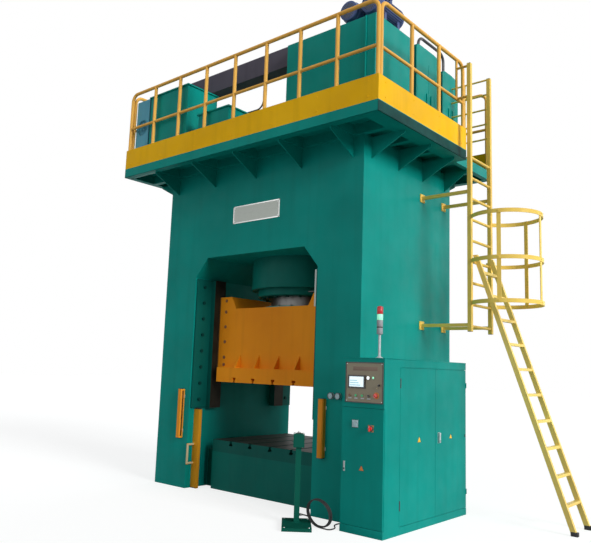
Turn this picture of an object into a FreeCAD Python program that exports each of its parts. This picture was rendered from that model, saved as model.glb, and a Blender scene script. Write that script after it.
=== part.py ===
import FreeCAD, Part
import math
import os
import Sketcher

# A large hydraulic press: a portal frame with a bed, a crown cylinder and a guided slide,
# a service platform with tanks on its top, a caged ladder, and a control cabinet at its side.
# Millimetres. +Z is up, the front faces -Y, and the origin is on the floor under the slide.

SIZES = {
    # portal frame
    "frame_width": 3520, "frame_depth": 2120, "frame_height": 4440,
    "window_width": 2220, "window_top": 3170, "corner_run": 225, "corner_rise": 265,
    "window_recess": 285,
    # bed and bolster
    "bed_height": 500, "bed_step": 120, "bed_width": 1790, "ejector_bore": 210,
    "bolster_width": 1784, "bolster_thickness": 160, "pin_hole_radius": 90,
    "slot_pitch": 360, "slot_width": 36, "slot_depth": 64, "slot_head_width": 64,
    "slot_head_height": 28,
    # slide
    "slide_width": 1784, "slide_bottom": 1450, "slide_plate": 200, "slide_top": 2480,
    "ear_top": 2650, "ear_span": 1960, "ear_width": 227, "ear_slope": 89, "slide_setback": 100,
    "web_thickness": 26, "web_height": 180, "shoe_thickness": 20, "shoe_depth": 150,
    # guides
    "guide_gap": 0.5, "gib_depth": 200, "gib_bottom": 1080, "gib_top": 2890,
    "gib_strip": 30, "gib_strip_margin": 20, "bolt_rows": 8, "gib_bolt_radius": 24,
    "bolt_head_height": 22,
    # cylinder and plunger
    "flange_radius": 730, "flange_bottom": 2745, "barrel_radius": 640, "barrel_top": 4300,
    "barrel_cap": 120, "cylinder_bore": 470, "crown_fit": 0.3,
    "gland_radius": 640, "gland_bottom": 2645, "plunger_radius": 450, "running_fit": 0.06,
    "plunger_top": 3900, "clamp_ring_radius": 545, "clamp_ring_height": 30,
    "gland_bolt_circle": 560, "gland_bolt_count": 20,
    # ejector
    "ejector_radius": 190, "ejector_bottom": 60, "ejector_top": 470, "ejector_wall": 45,
    "ejector_rod_radius": 70, "ejector_rod_top": 640,
    # fittings on the front
    "plate_left": -400, "plate_width": 850, "plate_bottom": 3600, "plate_height": 240,
    "plate_thickness": 4,
    "curtain_offset": 1255, "curtain_width": 80, "curtain_depth": 60, "curtain_bottom": 667,
    "curtain_height": 663, "curtain_groove": 26,
    "prop_width": 110, "prop_depth": 50, "prop_height": 1060, "prop_setback": 100,
    "handle_bottom": 335, "handle_height": 250, "handle_reach": 105, "handle_radius": 13,
    "gauge_left": 1385, "gauge_pitch": 102, "gauge_height": 1373, "gauge_radius": 37,
    "gauge_depth": 42,
    "scale_bottom": 2420, "scale_height": 450, "scale_width": 25,
    # platform
    "deck_half_width": 2290, "deck_half_depth": 1573, "beam_height": 125, "beam_width": 70,
    "joist_width": 80, "joist_pitch": 800, "deck_thickness": 8,
    "gusset_height": 260, "gusset_reach": 460, "gusset_thickness": 14, "gusset_pitch": 600,
    "notch_left": 2140, "notch_front": 500,
    "toe_height": 292, "toe_thickness": 8,
    "rail_radius": 24, "rail_height": 1207, "mid_rail_height": 640, "rail_bend": 110,
    "front_spans": 8, "side_spans": 3, "left_spans": 5, "rear_spans": 7,
    # ladders and cage
    "ladder_plane": 2440, "ladder_centre": 580, "ladder_width": 580, "ladder_bottom": 2190,
    "ladder_top": 5650, "stringer": 50, "rung_radius": 18, "rung_first": 2253,
    "rung_pitch": 268, "rung_count": 9,
    "bracket_low": 2270, "bracket_high": 3950, "bracket_size": 40,
    "guard_bottom": 4810, "guard_pitch": 209, "guard_count": 5, "guard_radius": 12,
    "guard_post": 2080,
    "cage_radius": 440, "cage_setback": 340, "hoop_height": 50, "hoop_thickness": 8,
    "hoop_low": 2515, "hoop_middle": 3035, "hoop_top": 3595,
    "strap_width": 50,
    "low_ladder_top": 3140, "low_ladder_foot": 3600, "low_ladder_head": 2485,
    "low_ladder_width": 450, "low_stringer": 40, "low_rungs": 11, "low_rung_pitch": 291.5,
    # hydraulics on the platform
    "tank_left": 485, "tank_right": 1890, "tank_front": -1060, "tank_depth": 830,
    "tank_height": 1367, "lid_height": 18, "lid_overhang": 20,
    "cover_left": 1190, "cover_round": 150,
    "front_cover_start": -106, "front_cover_depth": 646, "front_cover_height": 1380,
    "rear_cover_start": 600, "rear_cover_depth": 455, "rear_cover_height": 1270,
    "reserve_left": -1877, "reserve_width": 852, "reserve_front": -1480,
    "reserve_depth": 560, "reserve_height": 1080,
    "cooler_width": 300, "cooler_gap": 13, "cooler_depth": 400, "cooler_height": 1070,
    "chest_left": -760, "chest_width": 600, "chest_depth": 380, "chest_height": 550,
    "duct_left": -2210, "duct_front": -960, "duct_depth": 200, "duct_bottom": 5715,
    "duct_height": 280,
    "motor_radius": 135, "motor_length": 500, "motor_pitch": 330, "motor_rise": 240,
    "motor_setback": 200, "pipe_radius": 20,
    "loop_left": -700, "loop_right": -120, "loop_level": 5275, "loop_radius": 11,
    # control cabinet
    "cabinet_width": 534, "cabinet_front": -1375, "cabinet_rear": 460, "cabinet_height": 1800,
    "cabinet_wall": 5, "plinth_height": 80, "door_thickness": 20, "door_gap": 4,
    "door_sheet": 3, "door_lip": 24, "front_door_top": 1282, "side_door_top": 1715,
    "side_door_split": -300, "panel_bottom": 1335, "panel_height": 425, "panel_margin": 42,
    # what stands on the cabinet is measured from its left side
    "screen_left": 80, "screen_width": 220, "screen_bottom": 1485, "screen_height": 138,
    "screen_depth": 12, "button_height": 1410, "button_left": 102, "button_pitch": 81,
    "button_radius": 12, "button_length": 14, "collar_width": 4, "collar_depth": 8,
    "button_travel": 4, "stop_radius": 21, "stop_left": 438, "selector_left": 475,
    "selector_height": 1524, "switch_left": 374, "switch_height": 1079,
    "meter_left": 143, "meter_width": 80, "meter_height": 75,
    "lock_left": 42, "lock_width": 20, "lock_bottom": 620, "lock_height": 100,
    "door_handle_height": 885, "tower_left": 400, "tower_front": -1275,
    "tower_pole_radius": 12, "tower_pole_height": 260, "tower_radius": 30,
    "tower_light_height": 290,
    # pedestal and its cable
    "pedestal_left": 1290, "pedestal_front": -1520, "pedestal_turn": 41,
    "foot_width": 315, "foot_depth": 490, "foot_forward": 70, "foot_thickness": 35,
    "post_size": 60, "box_bottom": 820, "box_width": 120, "box_depth": 120, "box_height": 145,
    "pedestal_button": 14,
    "cable_radius": 7, "coil_radius": 150, "coil_turns": 3, "coil_pitch": 18,
    "coil_lean": -12, "coil_left": 1550, "coil_front": -1462, "coil_swell": 2.5,
    "cable_gland": 12, "post_gland_height": 110, "cable_inlet_front": -1150, "cable_inlet_height": 40,
}

doc = FreeCAD.newDocument("hydraulic_press")
sheet = doc.addObject("Spreadsheet::Sheet", "Sizes")
nodes = {}


def fill_sheet():
    """Put each driving size in its own named cell."""
    for row, (alias, value) in enumerate(SIZES.items(), start=1):
        sheet.set(f"A{row}", alias)
        sheet.set(f"B{row}", str(value))
        sheet.setAlias(f"B{row}", alias)
    doc.recompute()


class Size:
    """A length as an expression of the sheet's cells, with its present value."""

    def __init__(self, text, value):
        self.text = text
        self.value = float(value)

    def join(self, sign, other, value):
        return Size(f"({self.text} {sign} {size(other).text})", value)

    def __add__(self, other):
        return self.join("+", other, self.value + size(other).value)

    def __radd__(self, other):
        return size(other) + self

    def __sub__(self, other):
        return self.join("-", other, self.value - size(other).value)

    def __rsub__(self, other):
        return size(other) - self

    def __mul__(self, other):
        return self.join("*", other, self.value * size(other).value)

    def __rmul__(self, other):
        return size(other) * self

    def __truediv__(self, other):
        return self.join("/", other, self.value / size(other).value)

    def __neg__(self):
        return self * -1


def size(source):
    """The Size of a cell's alias, a plain number or another Size."""
    if isinstance(source, Size):
        return source
    if isinstance(source, str):
        return Size(f"Sizes.{source}", sheet.get(source))
    return Size(f"{float(source):.6f}", source)


def count(alias):
    """A whole number from the sheet."""
    return int(round(size(alias).value))


def bind(thing, prop, source):
    """Tie a property of an object to the sheet."""
    thing.setExpression(prop, size(source).text)


def put(thing, x, y, z, turn=None):
    """Place an object, with its position tied to the sheet."""
    if turn is not None:
        thing.Placement = FreeCAD.Placement(FreeCAD.Vector(0, 0, 0), turn)
    bind(thing, "Placement.Base.x", x)
    bind(thing, "Placement.Base.y", y)
    bind(thing, "Placement.Base.z", z)
    return thing


def block(x_span, y_span, z_span):
    """A box between two values on each axis."""
    box = doc.addObject("Part::Box", "Block")
    for prop, span in (("Length", x_span), ("Width", y_span), ("Height", z_span)):
        bind(box, prop, size(span[1]) - span[0])
    return put(box, x_span[0], y_span[0], z_span[0])


X_WAY = FreeCAD.Rotation(FreeCAD.Vector(0, 1, 0), 90)
Y_WAY = FreeCAD.Rotation(FreeCAD.Vector(1, 0, 0), -90)
Z_WAY = FreeCAD.Rotation()


def bar(start, radius, length, way=Z_WAY):
    """A round bar that starts at a point and runs along X, Y or Z."""
    cylinder = doc.addObject("Part::Cylinder", "Bar")
    bind(cylinder, "Radius", radius)
    bind(cylinder, "Height", length)
    return put(cylinder, *start, way)


def bend(centre, bend_radius, radius, first, second):
    """A quarter bend of a round bar, from the way first to the way second."""
    torus = doc.addObject("Part::Torus", "Bend")
    bind(torus, "Radius1", bend_radius)
    bind(torus, "Radius2", radius)
    torus.Angle3 = 90
    turn = FreeCAD.Rotation(first, second, first.cross(second), "XYZ")
    return put(torus, *centre, turn)


def join(parts):
    """One solid from several."""
    fusion = doc.addObject("Part::MultiFuse", "Join")
    fusion.Shapes = parts
    fusion.Refine = True
    return fusion


def less(base, tools):
    """A solid with others cut out of it."""
    shape = base
    for tool in tools:
        cut = doc.addObject("Part::Cut", "Less")
        cut.Base = shape
        cut.Tool = tool
        shape = cut
    return shape


def together(parts):
    """Separate solids in one node."""
    compound = doc.addObject("Part::Compound", "Group")
    compound.Links = parts
    return compound


def node(label, thing):
    """Name a finished sub-part."""
    thing.Label = label
    nodes[label] = thing
    return thing


class Worked:
    """A PartDesign body made from sketches on its own origin planes."""

    def __init__(self, label):
        self.body = doc.addObject("PartDesign::Body", "Body")
        self.cuts = []
        node(label, self.body)

    def sketch(self, plane, start, outlines):
        """A sketch of closed outlines and circles, each size tied to the sheet."""
        drawing = self.body.newObject("Sketcher::SketchObject", "Outline")
        origin = self.body.Origin.OriginFeatures
        face = next(part for part in origin if part.Role == plane + "_Plane")
        drawing.AttachmentSupport = [(face, "")]
        drawing.MapMode = "FlatFace"
        away = -size(start) if plane == "XZ" else size(start)
        bind(drawing, "AttachmentOffset.Base.z", away)
        for outline in outlines:
            if len(outline) == 3 and not isinstance(outline[0], tuple):
                draw_circle(drawing, *outline)
            else:
                draw_polygon(drawing, outline)
        return drawing

    def pad(self, plane, outlines, start, end):
        """Material from start to end along the plane's own axis."""
        feature = self.body.newObject("PartDesign::Pad", "Pad")
        feature.Profile = self.sketch(plane, start, outlines)
        feature.Reversed = plane == "XZ"
        bind(feature, "Length", size(end) - start)
        return self

    def pocket(self, plane, outlines, start, end):
        """Material taken away from start to end along the plane's own axis."""
        feature = self.body.newObject("PartDesign::Pocket", "Pocket")
        feature.Profile = self.sketch(plane, start, outlines)
        feature.Reversed = plane != "XZ"
        bind(feature, "Length", size(end) - start)
        self.cuts.append(feature)
        return self

    def turn(self, outline):
        """A profile of radius and height turned about the vertical axis."""
        feature = self.body.newObject("PartDesign::Revolution", "Turned")
        drawing = self.sketch("XZ", 0, [outline])
        feature.Profile = drawing
        feature.ReferenceAxis = (drawing, ["V_Axis"])
        feature.Angle = 360
        return self

    def check_cuts(self):
        """Each pocket has to take material away."""
        for feature in self.cuts:
            if feature.Shape.Volume > feature.BaseFeature.Shape.Volume - 1:
                raise RuntimeError(f"{self.body.Label}: {feature.Name} cuts nothing")


worked = []


def work(label):
    """Start a sub-part made from sketches."""
    part = Worked(label)
    worked.append(part)
    return part


def draw_polygon(drawing, corners):
    """A closed outline whose corners are tied to the sheet."""
    corners = [(size(across), size(up)) for across, up in corners]
    first = drawing.GeometryCount
    total = len(corners)
    for index, (across, up) in enumerate(corners):
        next_across, next_up = corners[(index + 1) % total]
        line = Part.LineSegment(FreeCAD.Vector(across.value, up.value, 0),
                                FreeCAD.Vector(next_across.value, next_up.value, 0))
        drawing.addGeometry(line, False)
    for index, corner in enumerate(corners):
        line = first + index
        after = first + (index + 1) % total
        drawing.addConstraint(Sketcher.Constraint("Coincident", line, 2, after, 1))
        for way, distance in zip(("DistanceX", "DistanceY"), corner):
            tie(drawing, Sketcher.Constraint(way, -1, 1, line, 1, distance.value), distance)


def draw_circle(drawing, across, up, radius):
    """A circle whose centre and radius are tied to the sheet."""
    across, up, radius = size(across), size(up), size(radius)
    centre = FreeCAD.Vector(across.value, up.value, 0)
    circle = drawing.addGeometry(Part.Circle(centre, FreeCAD.Vector(0, 0, 1), radius.value), False)
    tie(drawing, Sketcher.Constraint("DistanceX", -1, 1, circle, 3, across.value), across)
    tie(drawing, Sketcher.Constraint("DistanceY", -1, 1, circle, 3, up.value), up)
    tie(drawing, Sketcher.Constraint("Radius", circle, radius.value), radius)


def tie(drawing, constraint, distance):
    """Add a sketch constraint and bind it to the sheet."""
    number = drawing.addConstraint(constraint)
    drawing.setExpression(f"Constraints[{number}]", distance.text)


def rectangle(x_span, y_span):
    """The four corners of a rectangle between two values on each axis."""
    left, right = x_span
    low, high = y_span
    return [(left, low), (right, low), (right, high), (left, high)]


# ---------------------------------------------------------------- frame, bed and bolster

def make_frame():
    """The portal: two uprights and the crown, with the cylinder's bore in the crown."""
    half = size("frame_width") / 2
    front = -size("frame_depth") / 2
    rear = size("frame_depth") / 2
    window = size("window_width") / 2
    top = size("window_top")
    shoulder = top - "corner_rise"
    part = work("press_frame")
    part.pad("XZ", [[
        (-half, 0), (-window, 0), (-window, shoulder), (-window + "corner_run", top),
        (window - "corner_run", top), (window, shoulder), (window, 0), (half, 0),
        (half, "frame_height"), (-half, "frame_height"),
    ]], front, rear)
    part.pocket("XY", [(0, 0, size("barrel_radius") + "crown_fit")], top - 1,
                size("frame_height") + 1)


def bed_front():
    """Y of the bed's and slide's front face."""
    return -size("frame_depth") / 2 + "window_recess"


def make_bed():
    """The bed between the uprights, stepped at its corners and bored for the ejector."""
    side = size("window_width") / 2
    inner = size("bed_width") / 2
    front = bed_front()
    step = front + "bed_step"
    part = work("press_bed")
    part.pad("XY", [[
        (-side, step), (-inner, step), (-inner, front), (inner, front), (inner, step),
        (side, step), (side, -step), (inner, -step), (inner, -front), (-inner, -front),
        (-inner, -step), (-side, -step),
    ]], 0, "bed_height")
    part.pocket("XY", [(0, 0, "ejector_bore")], "ejector_bottom", size("bed_height") + 1)


def tee_slots(mouth, way):
    """Outlines of four T-slots that open at the height mouth, cut along way."""
    outlines = []
    neck = size("slot_width") / 2
    head = size("slot_head_width") / 2
    for step in (-1.5, -0.5, 0.5, 1.5):
        middle = size("slot_pitch") * step
        deep = size(mouth) + size("slot_depth") * way
        shoulder = deep - size("slot_head_height") * way
        beyond = size(mouth) - way
        outlines.append([
            (middle - neck, beyond), (middle + neck, beyond), (middle + neck, shoulder),
            (middle + head, shoulder), (middle + head, deep), (middle - head, deep),
            (middle - head, shoulder), (middle - neck, shoulder),
        ])
    return outlines


def make_bolster():
    """The slotted plate that tools are clamped on."""
    half = size("bolster_width") / 2
    front = bed_front()
    top = size("bed_height") + "bolster_thickness"
    part = work("bolster_plate")
    part.pad("XY", [rectangle((-half, half), (front, -front))], "bed_height", top)
    part.pocket("XZ", tee_slots(top, -1), front - 1, -front + 1)
    part.pocket("XY", [(0, 0, "pin_hole_radius")], size("bed_height") - 1, top + 1)


# ---------------------------------------------------------------- slide and guides

def make_slide():
    """The slide: slotted bottom plate, webs above it, and two raised ears."""
    half = size("ear_span") / 2
    plate_half = size("slide_width") / 2
    front = bed_front()
    face = front + "slide_setback"
    plate_top = size("slide_bottom") + "slide_plate"
    ear = half - "ear_width"
    part = work("press_slide")
    part.pad("XZ", [[
        (-half, plate_top - 10), (half, plate_top - 10), (half, "ear_top"), (ear, "ear_top"),
        (ear - "ear_slope", "slide_top"), (-ear + "ear_slope", "slide_top"),
        (-ear, "ear_top"), (-half, "ear_top"),
    ]], face, -face)
    part.pad("XY", [rectangle((-plate_half, plate_half), (front, -front))],
             "slide_bottom", plate_top)
    web = size("web_thickness") / 2
    for step in (-1.5, -0.5, 0.5, 1.5):
        middle = size("slot_pitch") * step
        for way in (1, -1):
            part.pad("YZ", [[
                (front * way, plate_top - 5), (face * way, plate_top - 5),
                (face * way, plate_top + "web_height"), (front * way, plate_top + 4),
            ]], middle - web, middle + web)
    part.pocket("XZ", tee_slots("slide_bottom", 1), front - 1, -front + 1)


def corner_ways():
    """The four corners of the window: a name and the way of X and Y."""
    for depth, y_way in (("front", -1), ("rear", 1)):
        for side, x_way in (("left", -1), ("right", 1)):
            yield f"{depth}_{side}", x_way, y_way


def make_guides():
    """Four gibs on the uprights, and the bronze shoes on the slide that run on them."""
    side = size("window_width") / 2
    half = size("ear_span") / 2 + "shoe_thickness"
    inner = half + "guide_gap"
    strip = side - "gib_strip"
    face = -bed_front()
    back = face - "gib_depth"
    edge = size("frame_depth") / 2 - "gib_strip_margin"
    for name, x_way, y_way in corner_ways():
        part = work(f"{name}_gib")
        part.pad("XY", [[
            (inner * x_way, back * y_way), (side * x_way, back * y_way),
            (side * x_way, edge * y_way), (strip * x_way, edge * y_way),
            (strip * x_way, face * y_way), (inner * x_way, face * y_way),
        ]], "gib_bottom", "gib_top")
    ride = size("ear_span") / 2
    shoe_out = face - "slide_setback"
    shoe_in = shoe_out - "shoe_depth"
    bottom = size("slide_bottom") + "slide_plate"
    shoes = []
    for name, x_way, y_way in corner_ways():
        shoes.append(block(ordered(ride * x_way, half * x_way),
                           ordered(shoe_in * y_way, shoe_out * y_way),
                           (bottom, "ear_top")))
    node("guide_shoes", together(shoes))


def ordered(first, second):
    """Two sizes with the lower one first."""
    return (first, second) if size(first).value < size(second).value else (second, first)


def hexagon_head(x, y, z, radius, height, way):
    """A bolt head that stands on a face, along way."""
    head = doc.addObject("Part::Prism", "Head")
    head.Polygon = 6
    bind(head, "Circumradius", radius)
    bind(head, "Height", height)
    return put(head, x, y, z, way)


def make_bolts():
    """Bolt heads of the gibs and of the gland ring, in one group."""
    strip = size("window_width") / 2 - "gib_strip"
    depth = size("frame_depth") / 2 - size("window_recess") / 2
    rise = size("gib_top") - "gib_bottom"
    heads = []
    for name, x_way, y_way in corner_ways():
        inwards = FreeCAD.Rotation(FreeCAD.Vector(0, 1, 0), -90 * x_way)
        for row in range(count("bolt_rows")):
            height = rise * (row + 0.5) / "bolt_rows" + "gib_bottom"
            heads.append(hexagon_head(strip * x_way, depth * y_way, height, "gib_bolt_radius",
                                      "bolt_head_height", inwards))
    total = count("gland_bolt_count")
    down = FreeCAD.Rotation(FreeCAD.Vector(1, 0, 0), 180)
    for number in range(total):
        angle = 2 * math.pi * number / total
        heads.append(hexagon_head(size("gland_bolt_circle") * math.cos(angle),
                                  size("gland_bolt_circle") * math.sin(angle),
                                  "gland_bottom", "gib_bolt_radius", "bolt_head_height", down))
    node("press_bolts", together(heads))


# ---------------------------------------------------------------- cylinder, plunger, ejector

def make_cylinder():
    """The main cylinder in the crown, its gland ring and the plunger on the slide."""
    bottom = size("flange_bottom")
    bore_top = size("barrel_top") - "barrel_cap"
    part = work("main_cylinder")
    part.turn([
        ("cylinder_bore", bottom), ("flange_radius", bottom),
        ("flange_radius", "window_top"), ("barrel_radius", "window_top"),
        ("barrel_radius", "barrel_top"), (0, "barrel_top"), (0, bore_top),
        ("cylinder_bore", bore_top),
    ])
    inner = size("plunger_radius") + "running_fit"
    ring = work("gland_ring")
    ring.turn([
        (inner, "gland_bottom"), (size("gland_radius") - 12, "gland_bottom"),
        ("gland_radius", size("gland_bottom") + 12), ("gland_radius", bottom), (inner, bottom),
    ])
    top = size("slide_top")
    plunger = work("plunger")
    plunger.turn([
        (0, top), ("clamp_ring_radius", top), ("clamp_ring_radius", top + "clamp_ring_height"),
        ("plunger_radius", top + "clamp_ring_height"),
        ("plunger_radius", size("plunger_top") - 20),
        (size("plunger_radius") - 20, "plunger_top"), (0, "plunger_top"),
    ])


def make_ejector():
    """The ejector in the bed: a cylinder, and its rod with a head."""
    bottom = size("ejector_bottom")
    top = size("ejector_top")
    inner = size("ejector_radius") - "ejector_wall"
    rod = size("ejector_rod_radius")
    cylinder = work("ejector_cylinder")
    cylinder.turn([
        (0, bottom), ("ejector_radius", bottom), ("ejector_radius", top),
        (rod + "running_fit", top), (rod + "running_fit", top - "ejector_wall"),
        (inner, top - "ejector_wall"), (inner, bottom + "ejector_wall"),
        (0, bottom + "ejector_wall"),
    ])
    head = bottom + "ejector_wall" + 0.3
    moving = work("ejector_rod")
    moving.turn([
        (0, head), (inner - 0.5, head), (inner - 0.5, head + 60), (rod, head + 60),
        (rod, "ejector_rod_top"), (0, "ejector_rod_top"),
    ])


# ---------------------------------------------------------------- fittings on the front

def make_front_fittings():
    """Nameplate, light curtains, gauges, position scale and the safety prop."""
    face = -size("frame_depth") / 2
    right = size("plate_left") + "plate_width"
    node("nameplate", block(("plate_left", right), (face - "plate_thickness", face),
                            ("plate_bottom", size("plate_bottom") + "plate_height")))
    half = size("curtain_width") / 2
    top = size("curtain_bottom") + "curtain_height"
    for name, way in (("left", -1), ("right", 1)):
        middle = size("curtain_offset") * way
        outer = face - "curtain_depth"
        groove = size("curtain_groove") / 2
        lens = middle - half * way
        part = work(f"{name}_light_curtain")
        part.pad("XY", [[
            (middle - half, face), (middle - half, outer + 12), (middle - half + 12, outer),
            (middle + half - 12, outer), (middle + half, outer + 12), (middle + half, face),
        ]], "curtain_bottom", top)
        centre = face - size("curtain_depth") / 2
        part.pocket("XY", [rectangle((lens - 5, lens + 5), (centre - groove, centre + groove))],
                    size("curtain_bottom") + 20, top - 20)
    dials = []
    for step in (0, 1):
        x = size("gauge_left") + size("gauge_pitch") * step
        dials.append(join([
            bar((x, face - "gauge_depth", "gauge_height"), "gauge_radius",
                size("gauge_depth") - 8, Y_WAY),
            bar((x, face - 10, "gauge_height"), size("gauge_radius") / 2, 10, Y_WAY),
        ]))
    node("pressure_gauges", together(dials))
    strip = size("window_width") / 2 - "gib_strip"
    edge = face + "gib_strip_margin"
    node("position_scale", block((strip - "scale_width", strip), (edge, edge + "scale_width"),
                                 ("scale_bottom", size("scale_bottom") + "scale_height")))
    make_prop(face)


def make_prop(face):
    """The safety prop, stored on end beside the left upright, with its lifting handle."""
    left = -size("window_width") / 2
    right = left + "prop_width"
    front = size(face) + "prop_setback"
    back = front + "prop_depth"
    x = left + 25
    low = size("handle_bottom")
    high = low + "handle_height"
    out = front - "handle_reach"
    radius = size("handle_radius")
    pieces = [
        block((left, right), (front, back), (0, "prop_height")),
        block((left + 12, right - 12), (front + 12, back - 12),
              (size("prop_height") - 5, size("prop_height") + 15)),
        bar((x, out, low), radius, size("handle_reach") + 5, Y_WAY),
        bar((x, out, high), radius, size("handle_reach") + 5, Y_WAY),
        bar((x, out, low - radius), radius, high - low + radius * 2),
    ]
    node("safety_prop", join(pieces))


# ---------------------------------------------------------------- platform and rails

def deck_outline(inset=0):
    """The platform's plan, with the corner left open beside the ladder."""
    side = size("deck_half_width") - inset
    end = size("deck_half_depth") - inset
    return [(-side, -end), (side, -end), (side, size("notch_front") - inset),
            (size("notch_left") - inset, size("notch_front") - inset),
            (size("notch_left") - inset, end), (-side, end)]


def make_platform():
    """Beams on brackets round the top of the frame, the deck on them and its toe board."""
    bottom = size("frame_height")
    top = bottom + "beam_height"
    part = work("platform_frame")
    part.pad("XY", [deck_outline()], bottom, top)
    end = size("deck_half_depth") - "beam_width"
    half_joist = size("joist_width") / 2
    bays = []
    lines = [step * size("joist_pitch") for step in (-2, -1, 0, 1, 2)]
    edges = [-size("deck_half_width") + "beam_width"]
    for line in lines:
        edges += [line - half_joist, line + half_joist]
    edges.append(size("notch_left") - "beam_width")
    rails = [share * size("frame_depth") / 2 for share in (-1, -0.5, 0, 0.5, 1)]
    ends = [-end]
    for rail in rails:
        ends += [rail - half_joist, rail + half_joist]
    ends.append(end)
    for left, right in zip(edges[0::2], edges[1::2]):
        for near, far in zip(ends[0::2], ends[1::2]):
            bays.append(rectangle((left, right), (near, far)))
    part.pocket("XY", bays, bottom - 1, top + 1)
    low = bottom - "gusset_height"
    thick = size("gusset_thickness") / 2
    depth = size("frame_depth") / 2
    width = size("frame_width") / 2
    for way in (-1, 1):
        for line in lines:
            part.pad("YZ", [[
                (depth * way, low), (depth * way, bottom + 3),
                ((depth + "gusset_reach") * way, bottom + 3),
                ((depth + "gusset_reach") * way, bottom - 30),
            ]], line - thick, line + thick)
        for step in (-1.5, -0.5, 0.5, 1.5):
            line = size("gusset_pitch") * step
            reach = width + "gusset_reach" - (120 if way == 1 and step > 0.6 else 0)
            part.pad("XZ", [[
                (width * way, low), (width * way, bottom + 3),
                (reach * way, bottom + 3), (reach * way, bottom - 30),
            ]], line - thick, line + thick)
    deck = work("deck_plate")
    deck.pad("XY", [deck_outline()], top, top + "deck_thickness")
    make_toe_board(top + "deck_thickness")


def make_toe_board(deck_top):
    """The upright plate along the platform's edges, open at the ladder's corner."""
    side = size("deck_half_width")
    end = size("deck_half_depth")
    thick = size("toe_thickness")
    board = work("toe_board")
    board.pad("XY", [[
        (side, -end), (side, "notch_front"), (side - thick, "notch_front"),
        (side - thick, -end + thick), (-side + thick, -end + thick),
        (-side + thick, end - thick), ("notch_left", end - thick), ("notch_left", end),
        (-side, end), (-side, -end),
    ]], deck_top, deck_top + "toe_height")


def deck_level():
    """Z of the deck's upper face."""
    return size("frame_height") + "beam_height" + "deck_thickness"


def rail_panel(label, x, y, length, spans, along_x, extra=()):
    """A handrail: end posts bent into the top rail, posts between, and a middle rail."""
    base = deck_level()
    top = base + size("rail_height") - "rail_radius"
    radius = size("rail_radius")
    curve = size("rail_bend")
    way = FreeCAD.Vector(1, 0, 0) if along_x else FreeCAD.Vector(0, 1, 0)
    up = FreeCAD.Vector(0, 0, 1)
    turn = X_WAY if along_x else Y_WAY

    def spot(distance, height):
        shift = (distance, 0) if along_x else (0, distance)
        return (size(x) + shift[0], size(y) + shift[1], height)

    length = size(length)
    pieces = [
        bar(spot(0, base), radius, top - base - curve),
        bar(spot(length, base), radius, top - base - curve),
        bend(spot(curve, top - curve), curve, radius, way * -1, up),
        bend(spot(length - curve, top - curve), curve, radius, way, up),
        bar(spot(curve, top), radius, length - curve * 2, turn),
        bar(spot(0, base + "mid_rail_height"), radius - 4, length, turn),
    ]
    for number in range(1, count(spans)):
        pieces.append(bar(spot(length * number / spans, base), radius, top - base))
    pieces.extend(extra)
    node(label, join(pieces))


def make_handrails():
    """The four runs of handrail on the platform."""
    inset = size("toe_thickness") + "rail_radius" + 0.3
    side = size("deck_half_width") - inset
    end = size("deck_half_depth") - inset
    gap = size("rail_radius") * 2 + 6
    rail_panel("front_handrail", -side, -end, side * 2, "front_spans", True)
    rail_panel("left_handrail", -side, -end + gap, end * 2 - gap * 2, "left_spans", False)
    last = size("notch_front") - 30
    near = size("ladder_centre") - size("ladder_width") / 2
    links = [bar((side, near, deck_level() + height), size("rail_radius") - 8,
                 size("ladder_plane") - side - size("stringer") / 2, X_WAY)
             for height in (size("mid_rail_height"), size("rail_height") - "rail_radius" - 130)]
    links.append(bar((side, near, deck_level() + "mid_rail_height"), size("rail_radius") - 8,
                     size("rail_height") - "mid_rail_height" - "rail_radius"))
    rail_panel("right_handrail", side, -end + gap, last + end - gap, "side_spans", False, links)
    rear_right = size("notch_left") - 40
    rail_panel("rear_handrail", -side, end, side + rear_right, "rear_spans", True)


# ---------------------------------------------------------------- ladders and cage

def make_access_ladder():
    """The upright ladder with its brackets to the frame and the guard beside it."""
    plane = size("ladder_plane")
    half = size("stringer") / 2
    near = size("ladder_centre") - size("ladder_width") / 2
    far = size("ladder_centre") + size("ladder_width") / 2
    pieces = []
    for y in (near, far):
        pieces.append(block((plane - half, plane + half), (y - half, y + half),
                            ("ladder_bottom", "ladder_top")))
        for height in ("bracket_low", "bracket_high"):
            arm = size("bracket_size") / 2
            pieces.append(block((size("frame_width") / 2, plane), (y - arm, y + arm),
                                (size(height) - arm, size(height) + arm)))
    for number in range(count("rung_count")):
        height = size("rung_first") + size("rung_pitch") * number
        pieces.append(bar((plane, near, height), "rung_radius", far - near, Y_WAY))
    post = size("guard_post")
    top = size("guard_bottom") + size("guard_pitch") * (count("guard_count") - 1)
    pieces.append(block((post - 15, post + 15), (far - 15, far + 15), (deck_level(), top)))
    for number in range(count("guard_count")):
        height = size("guard_bottom") + size("guard_pitch") * number
        pieces.append(bar(("tank_right", far, height), "guard_radius",
                          plane - "tank_right", X_WAY))
    node("access_ladder", join(pieces))


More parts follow.
